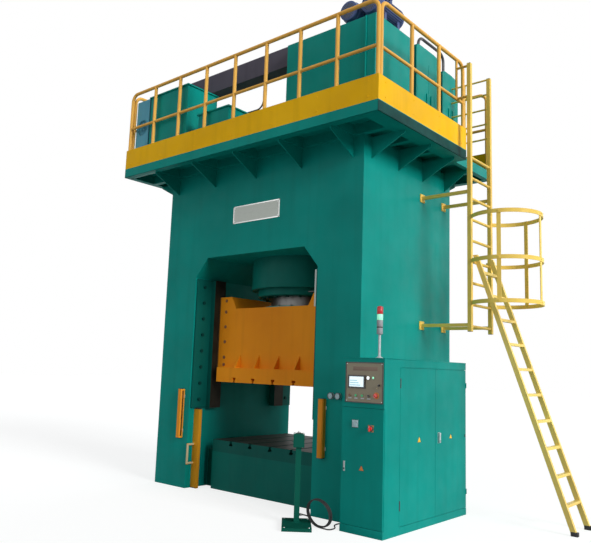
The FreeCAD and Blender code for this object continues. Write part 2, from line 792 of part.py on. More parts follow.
def make_cage():
    """The safety cage: flat hoops round the ladder, joined by straps."""
    plane = size("ladder_plane") + size("stringer") / 2
    centre = size("ladder_plane") + "cage_setback"
    middle = size("ladder_centre")
    outer = size("cage_radius")
    inner = outer - "hoop_thickness"
    hoops = []
    for level in ("hoop_low", "hoop_middle", "hoop_top"):
        hoops.append(less(bar((centre, middle, level), outer, "hoop_height"),
                          [bar((centre, middle, size(level) - 1), inner,
                               size("hoop_height") + 2)]))
    straps = []
    half = size("strap_width") / 2
    bottom = size("hoop_low")
    top = size("hoop_top") + "hoop_height"
    for degrees in (-78, 0, 78):
        angle = math.radians(degrees)
        strap = doc.addObject("Part::Box", "Strap")
        bind(strap, "Length", size("hoop_thickness") + 1)
        bind(strap, "Width", half * 2)
        bind(strap, "Height", top - bottom)
        turn = FreeCAD.Rotation(FreeCAD.Vector(0, 0, 1), degrees)
        reach = inner - "hoop_thickness"
        put(strap, centre + reach * math.cos(angle) + half * math.sin(angle),
            middle + reach * math.sin(angle) - half * math.cos(angle), bottom, turn)
        straps.append(strap)
    ring = join(hoops + straps)
    clear = block((centre - outer - 50, plane + 0.3), (middle - outer - 50, middle + outer + 50),
                  (bottom - 50, top + 50))
    node("ladder_cage", less(ring, [clear]))


def make_lower_ladder():
    """The leaning ladder that hooks on the upright one and stands on the floor."""
    head_x = size("low_ladder_head")
    foot_x = size("low_ladder_foot")
    top = size("low_ladder_top")
    half = size("low_stringer") / 2
    near = size("ladder_centre") - size("low_ladder_width") / 2
    far = size("ladder_centre") + size("low_ladder_width") / 2
    part = work("lower_ladder")
    across = half * 1.5
    for y in (near, far):
        part.pad("XZ", [[
            (foot_x - across, 0), (foot_x + across, 0), (head_x + across, top),
            (head_x - across, top),
        ]], y - half, y + half)
    rise = size("low_rung_pitch")
    run = (foot_x - head_x) / top
    tread = size("rung_radius") - 2
    for number in range(1, count("low_rungs")):
        height = rise * number
        middle = foot_x - run * height
        part.pad("XZ", [[
            (middle - across + 4, height - tread), (middle + across - 4, height - tread),
            (middle + across - 4, height + tread), (middle - across + 4, height + tread),
        ]], near, far)
    hook = size("rung_first") + size("rung_pitch") * 3 + "rung_radius"
    for y in (near, far):
        part.pad("XZ", [[
            ("ladder_plane", hook + 0.5), (head_x, hook + 0.5), (head_x, hook + 30.5),
            (size("ladder_plane") - 25, hook + 30.5), (size("ladder_plane") - 25, hook - 25),
            (size("ladder_plane") - 19, hook - 25), (size("ladder_plane") - 19, hook + 0.5),
        ]], y - 6, y + 6)


# ---------------------------------------------------------------- hydraulics on the platform

def lidded_box(label, x_span, y_span, height):
    """A welded tank that stands on the deck, with an overhanging lid."""
    base = deck_level()
    top = base + height
    over = size("lid_overhang")
    node(label, join([
        block(x_span, y_span, (base, top - "lid_height")),
        block((size(x_span[0]) - over, size(x_span[1]) + over),
              (size(y_span[0]) - over, size(y_span[1]) + over), (top - "lid_height", top)),
    ]))
    return top


def make_hydraulics():
    """Tanks, pump covers, valve chest, duct, motors and pipes on the platform."""
    base = deck_level()
    rear = size("tank_front") + "tank_depth"
    tank_top = base + "tank_height"
    tank = work("oil_tank")
    tank.pad("XY", [rectangle(("tank_left", "tank_right"), ("tank_front", rear))],
             base, tank_top)
    rib = size("tank_left") + (size("tank_right") - "tank_left") * 0.9
    tank.pad("XY", [rectangle((rib, rib + 12), (size("tank_front") - 18, size("tank_front") + 5))],
             base, tank_top)
    for name in ("front", "rear"):
        start = size(f"{name}_cover_start")
        end = start + f"{name}_cover_depth"
        top = base + f"{name}_cover_height"
        curve = size("cover_round")
        part = work(f"{name}_pump_cover")
        part.pad("YZ", [[
            (start, base), (end, base), (end, top - curve * 0.9),
            (end - curve * 0.2, top - curve * 0.35), (end - curve * 0.6, top - curve * 0.08),
            (end - curve * 1.2, top), (start + curve * 0.45, top),
            (start + curve * 0.12, top - curve * 0.1), (start, top - curve * 0.4),
        ]], "cover_left", "tank_right")
    reserve_right = size("reserve_left") + "reserve_width"
    reserve_rear = size("reserve_front") + "reserve_depth"
    lidded_box("reserve_tank", ("reserve_left", reserve_right),
               ("reserve_front", reserve_rear), size("reserve_height"))
    cooler_right = size("reserve_left") - "cooler_gap" - "lid_overhang"
    cooler = work("oil_cooler")
    cooler.pad("XY", [rectangle((cooler_right - "cooler_width", cooler_right),
                                ("reserve_front", size("reserve_front") + "cooler_depth"))],
               base, base + "cooler_height")
    middle = cooler_right - size("cooler_width") / 2
    cooler.pocket("XZ", [(middle, base + size("cooler_height") * 0.6,
                          size("cooler_width") * 0.4)],
                  size("reserve_front") - 1, size("reserve_front") + 30)
    lidded_box("valve_chest", ("chest_left", size("chest_left") + "chest_width"),
               ("reserve_front", size("reserve_front") + "chest_depth"), size("chest_height"))
    make_duct(base, reserve_rear)
    make_motors(tank_top)
    make_pipes(base)


def make_duct(base, reserve_rear):
    """The duct from over the reserve tank to the oil tank, on two saddles."""
    rear = size("duct_front") + "duct_depth"
    top = size("duct_bottom") + "duct_height"
    saddle = base + "reserve_height"
    pieces = [block(("duct_left", "tank_left"), ("duct_front", rear), ("duct_bottom", top))]
    for share in (0.2, 0.8):
        x = size("reserve_left") + size("reserve_width") * share
        pieces.append(block((x - 25, x + 25), ("duct_front", reserve_rear),
                            (saddle, size("duct_bottom") + 5)))
    node("overflow_duct", join(pieces))


def make_motors(tank_top):
    """Two pump motors with their cowls and feet on top of the oil tank."""
    radius = size("motor_radius")
    start = size("tank_front") + "motor_setback"
    motors = []
    for step in (1.5, 0.5):
        x = size("tank_right") - size("motor_pitch") * step
        z = tank_top + "motor_rise"
        length = size("motor_length")
        pieces = [
            bar((x, start, z), radius, length, Y_WAY),
            bar((x, start - 90, z), radius * 0.94, 92, Y_WAY),
            bar((x, start + length - 2, z), radius * 0.6, 42, Y_WAY),
            block((x - 60, x + 60), (start + 160, start + 320), (z + radius - 20, z + radius + 70)),
        ]
        for share in (0.15, 0.75):
            y = start + length * share
            pieces.append(block((x - radius * 0.8, x + radius * 0.8), (y, y + 50),
                                (tank_top, z - radius * 0.5)))
        motors.append(join(pieces))
    node("pump_motors", together(motors))


def make_pipes(base):
    """Bent steel pipes: one over the pump covers, and a loop that hangs under the duct."""
    radius = size("pipe_radius")
    x = size("tank_right") - 150
    near = size("front_cover_start") + 300
    far = size("rear_cover_start") + 300
    low = base + "front_cover_height"
    rear_low = base + "rear_cover_height"
    level = low + 260
    curve = size(120)
    back = FreeCAD.Vector(0, -1, 0)
    ahead = FreeCAD.Vector(0, 1, 0)
    up = FreeCAD.Vector(0, 0, 1)
    right = FreeCAD.Vector(1, 0, 0)
    over = join([
        bar((x, near, low), radius, level - low - curve),
        bend((x, near + curve, level - curve), curve, radius, back, up),
        bar((x, near + curve, level), radius, far - near - curve * 2, Y_WAY),
        bend((x, far - curve, level - curve), curve, radius, ahead, up),
        bar((x, far, rear_low), radius, level - curve - rear_low),
    ])
    middle = size("duct_front") + size("duct_depth") / 2
    thin = size("loop_radius")
    low = size("loop_level")
    leg = size("duct_bottom") - low - curve
    loop = join([
        bar(("loop_left", middle, low + curve), thin, leg),
        bend((size("loop_left") + curve, middle, low + curve), curve, thin, right * -1, up * -1),
        bar((size("loop_left") + curve, middle, low), thin,
            size("loop_right") - "loop_left" - curve * 2, X_WAY),
        bend((size("loop_right") - curve, middle, low + curve), curve, thin, right, up * -1),
        bar(("loop_right", middle, low + curve), thin, leg),
    ])
    node("return_pipes", together([over, loop]))


# ---------------------------------------------------------------- control cabinet

def make_cabinet():
    """The cabinet's shell, its inner plate with switchgear, and the signal tower."""
    left = size("frame_width") / 2
    right = left + "cabinet_width"
    front = size("cabinet_front")
    rear = size("cabinet_rear")
    top = size("cabinet_height")
    wall = size("cabinet_wall")
    door = size("door_thickness")
    low = size("plinth_height")
    column = -size("frame_depth") / 2 - "door_gap"
    inner_front = front + door
    inner_right = right - door
    part = work("cabinet_shell")
    part.pad("XY", [[
        (left, inner_front), (right, inner_front), (right, column), (inner_right, column),
        (inner_right, rear), (left, rear),
    ]], 0, top)
    part.pad("XZ", [rectangle((left, right), (size("front_door_top") + "door_gap", top))],
             front, inner_front + 1)
    part.pad("XZ", [rectangle((left, right), (0, low))], front, inner_front + 1)
    part.pad("YZ", [rectangle((column - 1, rear), (size("side_door_top") + "door_gap", top))],
             inner_right - 1, right)
    part.pad("YZ", [rectangle((column - 1, rear), (0, low))], inner_right - 1, right)
    lip = size("door_lip")
    part.pocket("XY", [[
        (left + wall, inner_front + wall), (right - wall, inner_front + wall),
        (right - wall, column - wall), (inner_right - wall, column - wall),
        (inner_right - wall, rear - wall), (left + wall, rear - wall),
    ]], low, top - wall)
    part.pocket("XZ", [rectangle((left + lip, right - lip),
                                 (low + lip, size("front_door_top") - lip))],
                inner_front - 1, inner_front + wall + 1)
    part.pocket("YZ", [rectangle((column + lip, rear - lip),
                                 (low + lip, size("side_door_top") - lip))],
                inner_right - wall - 1, inner_right + 1)
    part.pad("YZ", [("cable_inlet_front", "cable_inlet_height", size("cable_radius") + 5)],
             left - "cable_gland", left + 1)
    button_bore = size("button_radius") + 0.3
    holes = [(button_x(number), "button_height", button_bore) for number in range(4)]
    part.pocket("XZ", holes, front - 1, inner_front + wall + 1)
    make_switchgear(left + wall, low)
    tower_base = top
    tower_x = on_cabinet("tower_left")
    node("signal_tower", join([
        bar((tower_x, "tower_front", tower_base), size("tower_radius") + 8, 14),
        bar((tower_x, "tower_front", tower_base), "tower_pole_radius",
            size("tower_pole_height") + 5),
        bar((tower_x, "tower_front", tower_base + "tower_pole_height"), "tower_radius",
            "tower_light_height"),
    ]))


def on_cabinet(place):
    """X of a place that is measured from the cabinet's left side."""
    return size("frame_width") / 2 + place


def button_x(number):
    """X of a push button's centre."""
    return on_cabinet("button_left") + size("button_pitch") * number


def make_switchgear(wall_x, low):
    """The mounting plate in the cabinet with rows of switchgear on rails."""
    start = -size("frame_depth") / 2 + 60
    end = size("cabinet_rear") - 60
    foot = size(low) + 120
    head = size("side_door_top") - 100
    part = work("switchgear_plate")
    part.pad("YZ", [rectangle((start, end), (foot, head))], wall_x, size(wall_x) + 30)
    face = size(wall_x) + 30
    rows = []
    for row in range(4):
        height = foot + 120 + 340 * row
        for place in range(6 - row % 2):
            y = start + 70 + 215 * place
            rows.append(rectangle((y, y + 150), (height, height + 170)))
    part.pad("YZ", rows, face - 1, face + 110)


def pan_door(label, plane, span, heights, outer, inward):
    """A door of folded sheet: a pan that opens towards the cabinet."""
    sheet_metal = size("door_sheet")
    low, high = heights
    across_low, across_high = span
    inner = size(outer) + size("door_thickness") * inward
    part = work(label)
    part.pad(plane, [rectangle(span, heights)], *ordered(size(outer), inner))
    hollow = rectangle((size(across_low) + "door_sheet", size(across_high) - "door_sheet"),
                       (size(low) + "door_sheet", size(high) - "door_sheet"))
    part.pocket(plane, [hollow], *ordered(size(outer) + sheet_metal * inward, inner + inward))
    return part


def make_doors():
    """The front door and the two side doors, with the meter, lock and handles on them."""
    left = size("frame_width") / 2
    right = left + "cabinet_width"
    gap = size("door_gap")
    front = size("cabinet_front")
    low = size("plinth_height") + gap
    door = pan_door("front_door", "XZ", (left + gap, right - gap),
                    (low, size("front_door_top")), front, 1)
    meter_x = on_cabinet("meter_left")
    door.pad("XZ", [rectangle((meter_x, meter_x + "meter_width"),
                              ("switch_height", size("switch_height") + "meter_height"))],
             front - 9, front + 1)
    lock_x = on_cabinet("lock_left")
    door.pad("XZ", [rectangle((lock_x, lock_x + "lock_width"),
                              ("lock_bottom", size("lock_bottom") + "lock_height"))],
             front - 12, front + 1)
    door.pad("XZ", [(on_cabinet("switch_left"), "switch_height", 32)], front - 8, front + 1)
    start = -size("frame_depth") / 2
    end = size("cabinet_rear") - gap
    split = size("side_door_split")
    heights = (low, size("side_door_top"))
    pan_door("front_side_door", "YZ", (start, split - gap / 2), heights, right, -1)
    rear = pan_door("rear_side_door", "YZ", (split + gap / 2, end), heights, right, -1)
    grip = size("door_handle_height")
    rear.pad("YZ", [rectangle((split + 60, split + 90), (grip, grip + 110))], right - 1,
             right + 16)


def round_control(label, x, z, radius, length, start, cap=0):
    """A turned control that stands in its collar, along the cabinet's depth."""
    pieces = [bar((x, start, z), radius, length, Y_WAY)]
    if cap:
        pieces.append(bar((x, size(start) - 12, z), cap, 13, Y_WAY))
    node(label, join(pieces) if cap else pieces[0])


def make_controls():
    """The control panel with its screen, push buttons, stop, selector and main switch."""
    left = size("frame_width") / 2 + "panel_margin"
    right = size("frame_width") / 2 + "cabinet_width" - 14
    front = size("cabinet_front")
    face = front - 4
    bottom = size("panel_bottom")
    top = bottom + "panel_height"
    collar_out = face - "collar_depth"
    bore = size("button_radius") + 0.3
    stop_x = on_cabinet("stop_left")
    selector_x = on_cabinet("selector_left")
    screen_x = on_cabinet("screen_left")
    switch_x = on_cabinet("switch_left")
    part = work("control_panel")
    part.pad("XZ", [rectangle((left, right), (bottom, top))], face, front)
    rings = [(button_x(number), "button_height", bore + "collar_width") for number in range(4)]
    rings.append((stop_x, size("button_height") + 7, size("button_radius") + 10))
    rings.append((selector_x, "selector_height", bore + "collar_width"))
    part.pad("XZ", rings, collar_out, face + 1)
    lamps = [(selector_x - 137, size("selector_height") + 72, 17),
             (selector_x - 73, size("selector_height") + 75, 12)]
    part.pad("XZ", lamps, face - 10, face + 1)
    key = [(selector_x - 25, size("selector_height") - 30, 9)]
    part.pad("XZ", key, face - 9, face + 1)
    holes = [(button_x(number), "button_height", bore) for number in range(4)]
    holes.append((stop_x, size("button_height") + 7, bore))
    holes.append((selector_x, "selector_height", bore))
    part.pocket("XZ", holes, collar_out - 1, front + 1)
    screen_right = screen_x + "screen_width"
    screen_top = size("screen_bottom") + "screen_height"
    screen = work("touch_screen")
    screen.pad("XZ", [rectangle((screen_x, screen_right), ("screen_bottom", screen_top))],
               face - "screen_depth", face)
    screen.pocket("XZ", [rectangle((screen_x + 18, screen_right - 18),
                                   (size("screen_bottom") + 16, screen_top - 16))],
                  face - "screen_depth" - 1, face - "screen_depth" + 3)
    length = size("button_length")
    for number in range(4):
        round_control(f"push_button_{number + 1}", button_x(number), "button_height",
                      "button_radius", length, collar_out - 6)
    round_control("emergency_stop", stop_x, size("button_height") + 7, "button_radius",
                  length, collar_out - 8, "stop_radius")
    knob = join([
        bar((selector_x, collar_out - 8, "selector_height"), "button_radius", 14, Y_WAY),
        block((selector_x - 4, selector_x + 4),
              (collar_out - 20, collar_out - 5),
              (size("selector_height") - 11, size("selector_height") + 11)),
    ])
    node("selector_switch", knob)
    boss = front - 8.3
    turner = join([
        bar((switch_x, boss - 14, "switch_height"), 22, 14, Y_WAY),
        block((switch_x - 6, switch_x + 6), (boss - 28, boss - 10),
              (size("switch_height") - 26, size("switch_height") + 26)),
    ])
    node("main_switch", turner)


# ---------------------------------------------------------------- pedestal and cable

def pedestal_turn():
    """The turn of the pedestal about its post, and its unit vectors."""
    angle = math.radians(size("pedestal_turn").value)
    across = FreeCAD.Vector(math.cos(angle), math.sin(angle), 0)
    back = FreeCAD.Vector(-math.sin(angle), math.cos(angle), 0)
    return FreeCAD.Rotation(FreeCAD.Vector(0, 0, 1), size("pedestal_turn").value), across, back


def turned_block(width, depth, low, high, forward=0):
    """A box centred on the pedestal's post, or forward of it, and turned with it."""
    turn, across, back = pedestal_turn()
    half_width = size(width) / 2
    half_depth = size(depth) / 2 + forward
    box = doc.addObject("Part::Box", "Block")
    bind(box, "Length", width)
    bind(box, "Width", depth)
    bind(box, "Height", size(high) - low)
    x = size("pedestal_left") - half_width * across.x - half_depth * back.x
    y = size("pedestal_front") - half_width * across.y - half_depth * back.y
    return put(box, x, y, low, turn)


def cable_exit():
    """The point at which the cable leaves the pedestal's gland, and its way."""
    across = pedestal_turn()[1]
    reach = size("post_size") / 2 + "cable_gland"
    centre = FreeCAD.Vector(size("pedestal_left").value, size("pedestal_front").value,
                            size("post_gland_height").value)
    return centre + across * reach.value, across


def make_pedestal():
    """The push-button pedestal: foot, post, box, gland and its one button."""
    top = size("box_bottom") + "box_height"
    across = pedestal_turn()[1]
    gland = doc.addObject("Part::Cylinder", "Gland")
    bind(gland, "Radius", size("cable_radius") + 5)
    bind(gland, "Height", size("cable_gland") + 5)
    inner = size("post_size") / 2 - 5
    lay = FreeCAD.Rotation(FreeCAD.Vector(0, 0, 1), across)
    put(gland, inner * across.x + "pedestal_left", inner * across.y + "pedestal_front",
        "post_gland_height", lay)
    collar = less(bar(("pedestal_left", "pedestal_front", top - 1),
                      size("pedestal_button") + 5, 11),
                  [bar(("pedestal_left", "pedestal_front", top + 1),
                       size("pedestal_button") + 0.3, 20)])
    node("control_pedestal", join([
        turned_block("foot_width", "foot_depth", 0, "foot_thickness", "foot_forward"),
        turned_block("post_size", "post_size", "foot_thickness", size("box_bottom") + 5),
        turned_block("box_width", "box_depth", "box_bottom", top),
        gland, collar,
    ]))
    node("pedestal_button", bar(("pedestal_left", "pedestal_front", top + 6),
                                "pedestal_button", 18))


def arc_between(start, way, end):
    """The arc that leaves start along way and ends at end."""
    chord = end - start
    lean = way.getAngle(chord)
    if lean < 1e-6:
        return Part.LineSegment(start, end).toShape()
    side = (way * chord.Length - chord * math.cos(lean))
    side.normalize()
    middle = (start + end) * 0.5 + side * (chord.Length / 2 * math.tan(lean / 2))
    return Part.Arc(start, middle, end).toShape()


def biarc(start, start_way, end, end_way):
    """Two arcs that join two points with the given ways."""
    chord = end - start
    both = start_way + end_way
    spread = 2 * (1 - start_way.dot(end_way))
    reach = (math.sqrt(chord.dot(both) ** 2 + 2 * spread * chord.dot(chord))
             - chord.dot(both)) / (2 * spread) if spread > 1e-9 else chord.Length / 2
    first = start + start_way * reach
    second = end - end_way * reach
    middle = (first + second) * 0.5
    through = second - first
    through.normalize()
    return [arc_between(start, start_way, middle), arc_between(middle, through, end)]


def coil_point(turns):
    """A point of the leaning coil's centre line, after a number of turns from its foot."""
    lean = math.radians(size("coil_lean").value)
    radius = size("coil_radius").value
    tube_radius = size("cable_radius").value
    reach = radius + size("coil_swell").value
    angle = 2 * math.pi * turns
    loop = radius + size("coil_swell").value * math.sin(2.1 * turns)
    rise = reach - loop * math.cos(angle)
    return FreeCAD.Vector(size("coil_left").value + loop * math.sin(angle),
                          size("coil_front").value - (2 * reach - rise) * math.sin(lean)
                          - turns * size("coil_pitch").value,
                          rise * math.cos(lean) + tube_radius)


def coil_way(turns):
    """The unit tangent of the coil's centre line."""
    step = 1e-4
    way = coil_point(turns + step) - coil_point(turns - step)
    way.normalize()
    return way


def make_coil():
    """The cable's coil, on edge beside the pedestal: one unbroken tube on biarcs."""
    quarter = 0.25
    steps = int(round(size("coil_turns").value / quarter))
    edges = []
    for number in range(steps):
        start, end = number * quarter, (number + 1) * quarter
        edges += biarc(coil_point(start), coil_way(start), coil_point(end), coil_way(end))
    wire = Part.Wire(edges)
    solid = pipe(wire, coil_point(0), coil_way(0))
    add_shape("cable_coil", solid)
    marks = [coil_point(number / 48) for number in range(int(48 * size("coil_turns").value) + 1)]
    least = min((marks[i] - marks[j]).Length for i in range(len(marks))
                for j in range(i + 24, len(marks)))
    print(f"coil: length {wire.Length:.0f}, least self gap "
          f"{least - 2 * size('cable_radius').value:.2f}")


def pipe(wire, start, way):
    """A round tube along a wire."""
    radius = size("cable_radius").value
    ring = Part.Wire([Part.Circle(start, way, radius).toShape()])
    solid = wire.makePipeShell([ring], True, False)
    expected = math.pi * radius ** 2 * wire.Length
    if abs(solid.Volume - expected) > 0.01 * expected:
        raise RuntimeError(f"tube volume {solid.Volume:.0f}, expected {expected:.0f}")
    return solid


def add_shape(label, shape):
    """A sub-part whose shape is worked out from the sheet in code."""
    feature = doc.addObject("Part::Feature", label)
    feature.Shape = shape
    node(label, feature)


def tube(label, route):
    """A tube on straight runs joined by tangent arcs as large as the runs allow."""
    edges = []
    last = route[0]
    radii = []
    for before, corner, after in zip(route, route[1:], route[2:]):
        arrive = (corner - before).normalize()
        leave = (after - corner).normalize()
        half_turn = arrive.getAngle(leave) / 2
        shorter = min((corner - before).Length, (after - corner).Length)
        set_back = 0.45 * shorter
        start = corner - arrive * set_back
        end = corner + leave * set_back
        edges.append(Part.LineSegment(last, start).toShape())
        edges.append(arc_between(start, arrive, end))
        radii.append(set_back / math.tan(half_turn))
        last = end
    edges.append(Part.LineSegment(last, route[-1]).toShape())
    wire = Part.Wire(edges)
    print(f"{label}: length {wire.Length:.0f}, radii " + " ".join(f"{r:.0f}" for r in radii))
    add_shape(label, pipe(wire, route[0], (route[1] - route[0]).normalize()))


def make_cable():
    """The pedestal's cable: a lead, the coil, and a tail to the cabinet's gland."""
    start, way = cable_exit()
    foot = coil_point(0)
    floor = size("cable_radius").value + 1
    beyond = size("foot_width").value / 2 - size("post_size").value / 2 + 20
    tube("cable_lead", [
        start, start + way * 90,
        start + way * beyond + FreeCAD.Vector(0, 0, floor + 5 - start.z),
        foot - coil_way(0) * 45, foot,
    ])
    make_coil()
    turns = size("coil_turns").value
    end = coil_point(turns)
    inlet = FreeCAD.Vector(size("frame_width").value / 2 - size("cable_gland").value,
                           size("cable_inlet_front").value, size("cable_inlet_height").value)
    away = end + coil_way(turns) * 60
    tube("cable_tail", [
        end + coil_way(turns) * 0.4, away,
        FreeCAD.Vector(inlet.x - 58, away.y - 4, floor),
        FreeCAD.Vector(inlet.x - 58, end.y + 113, floor),
        FreeCAD.Vector(inlet.x - 158, inlet.y - 100, floor),
        FreeCAD.Vector(inlet.x - 158, inlet.y, floor + 4),
        inlet - FreeCAD.Vector(45, 0, 0), inlet,
    ])


def finish():
    """Recompute, check every object, and write each sub-part."""
    doc.recompute()
    for thing in doc.Objects:
        if "Invalid" in thing.State or "Error" in thing.State:
            raise RuntimeError(f"{thing.Name} ({thing.Label}) failed: {thing.State}")
    for part in worked:
        part.check_cuts()
    for label, thing in nodes.items():
        if thing.Shape.isNull() or not thing.Shape.isValid():
            raise RuntimeError(f"{label} has no valid shape")
    os.makedirs("parts", exist_ok=True)
    for label, thing in nodes.items():
        thing.Shape.exportStep(os.path.join("parts", label + ".step"))
    print(f"{len(nodes)} sub-parts written")


def main():
    """Build the press, group by group."""
    fill_sheet()
    make_frame()
    make_bed()
    make_bolster()
    make_slide()
    make_guides()
    make_bolts()
    make_cylinder()
    make_ejector()
    make_front_fittings()
    make_platform()
    make_handrails()
    make_access_ladder()
    make_cage()
    make_lower_ladder()
    make_hydraulics()
    make_cabinet()
    make_doors()
    make_controls()
    make_pedestal()
    make_cable()
    finish()


main()
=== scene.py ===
"""Looks of a large hydraulic press with its platform, ladders, cabinet and pedestal."""

import logging
import math
from dataclasses import dataclass
from enum import Enum
from typing import Callable, Iterable, Sequence

import bmesh
import bpy
from mathutils import Matrix, Vector

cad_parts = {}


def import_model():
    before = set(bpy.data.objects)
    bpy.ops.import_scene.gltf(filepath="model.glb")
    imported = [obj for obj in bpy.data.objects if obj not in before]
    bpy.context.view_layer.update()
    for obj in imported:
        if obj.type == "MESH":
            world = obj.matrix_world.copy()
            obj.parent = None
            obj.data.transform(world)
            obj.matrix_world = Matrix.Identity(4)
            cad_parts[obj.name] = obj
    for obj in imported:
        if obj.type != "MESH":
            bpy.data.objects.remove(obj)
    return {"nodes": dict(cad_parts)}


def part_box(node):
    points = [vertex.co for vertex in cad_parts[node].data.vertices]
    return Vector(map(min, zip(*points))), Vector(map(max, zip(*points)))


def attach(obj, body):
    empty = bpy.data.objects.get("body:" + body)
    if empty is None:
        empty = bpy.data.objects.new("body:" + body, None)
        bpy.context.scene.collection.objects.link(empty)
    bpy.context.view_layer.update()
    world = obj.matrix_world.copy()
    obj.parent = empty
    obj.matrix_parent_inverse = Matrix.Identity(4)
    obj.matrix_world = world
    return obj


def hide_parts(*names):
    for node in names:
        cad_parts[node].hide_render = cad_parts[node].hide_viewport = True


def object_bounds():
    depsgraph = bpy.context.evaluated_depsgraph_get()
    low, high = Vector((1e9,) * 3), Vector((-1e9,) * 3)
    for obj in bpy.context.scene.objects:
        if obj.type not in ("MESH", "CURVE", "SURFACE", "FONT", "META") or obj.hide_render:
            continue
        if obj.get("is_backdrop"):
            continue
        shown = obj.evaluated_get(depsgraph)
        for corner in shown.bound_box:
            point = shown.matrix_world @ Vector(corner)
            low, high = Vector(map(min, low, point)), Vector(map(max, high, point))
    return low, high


log = logging.getLogger("press")

Point = tuple[float, float, float]
Colour = tuple[float, float, float]
Screen = tuple[int, int, int]
Socket = bpy.types.NodeSocket
Corners = Sequence[bmesh.types.BMVert]

UP: Point = (0, 0, 1)
DOWN: Point = (0, 0, -1)
FRONT: Point = (0, -1, 0)
BACK: Point = (0, 1, 0)
LEFT: Point = (-1, 0, 0)
RIGHT: Point = (1, 0, 0)
CORNERS: tuple[tuple[int, int], ...] = ((-1, -1), (-1, 1), (1, -1), (1, 1))


def from_srgb(red: int, green: int, blue: int) -> Colour:
    """Give the linear colour of an 8-bit screen colour.

    Args:
        red: Red, 0 to 255.
        green: Green, 0 to 255.
        blue: Blue, 0 to 255.

    Returns:
        The three linear values.
    """
    def linear(value: int) -> float:
        """Turn one screen value linear."""
        share = value / 255
        return share / 12.92 if share <= 0.04045 else ((share + 0.055) / 1.055) ** 2.4

    return linear(red), linear(green), linear(blue)


def shade(colour: Colour, factor: float) -> Colour:
    """Give a colour, lighter or darker."""
    red, green, blue = (min(1.0, part * factor) for part in colour)
    return red, green, blue


def around(count: int) -> list[tuple[float, float]]:
    """Give the cosine and sine of equal steps round a circle."""
    turns = [2 * math.pi * step / count for step in range(count)]
    return [(math.cos(turn), math.sin(turn)) for turn in turns]


def place(name: str, data: bpy.types.ID) -> bpy.types.Object:
    """Put an object in the scene.

    Args:
        name: The object's name.
        data: Its mesh, curve, lamp or camera.

    Returns:
        The object.
    """
    made = bpy.data.objects.new(name, data)
    bpy.context.scene.collection.objects.link(made)
    return made


class Tree:
    """A node tree in the making."""

    def __init__(self, tree: bpy.types.NodeTree) -> None:
        """Keep the tree."""
        self.tree = tree

    def link(self, start: Socket, end: Socket) -> None:
        """Join two sockets."""
        self.tree.links.new(start, end)

    def node(self, kind: str, values: dict[str | int, object] | None = None,
             **settings: object) -> bpy.types.Node:
        """Add a node.

        Args:
            kind: Its type.
            values: What each input gets: a socket that is linked to it, or a value.
            settings: Its settings.

        Returns:
            The node.
        """
        made = self.tree.nodes.new(kind)
        for key, value in settings.items():
            setattr(made, key, value)
        for key, value in (values or {}).items():
            if isinstance(value, Socket):
                self.link(value, made.inputs[key])
            else:
                made.inputs[key].default_value = value
        return made

    def maths(self, operation: str, *values: Socket | float) -> Socket:
        """Give the result of an operation on sockets or numbers."""
        return self.node("ShaderNodeMath", dict(enumerate(values)), operation=operation).outputs[0]


# ------------------------------------------------------------------ finishes


class Surface(Enum):
    """How a surface was made, which sets its fine texture."""

    ENAMEL = "brushed-on enamel"
    MACHINED = "milled or ground flat"
    TURNED = "turned or ground round"
    SHEET = "bare rolled sheet"
    MOULDED = "moulded plastic or rubber"
    LIT = "lit from behind"


@dataclass(frozen=True)
class Zone:
    """A region of a node with another surface or with painted shade, told by the size of one
    coordinate.
    """

    axis: int
    level: float
    above: bool
    colour: Colour
    roughness: float
    metallic: float = 0.0


@dataclass(frozen=True)
class Finish:
    """One finish of the press, made into a node material on first use."""

    name: str
    surface: Surface
    colour: Colour
    roughness: float
    metallic: float = 0.0
    coat: float = 0.0
    glow: float = 0.0
    zone: Zone | None = None

    def material(self) -> bpy.types.Material:
        """Give the material, building it the first time.

        Returns:
            The material.
        """
        known = bpy.data.materials.get(self.name)
        if known is not None:
            return known
        return FinishTree(self).build()


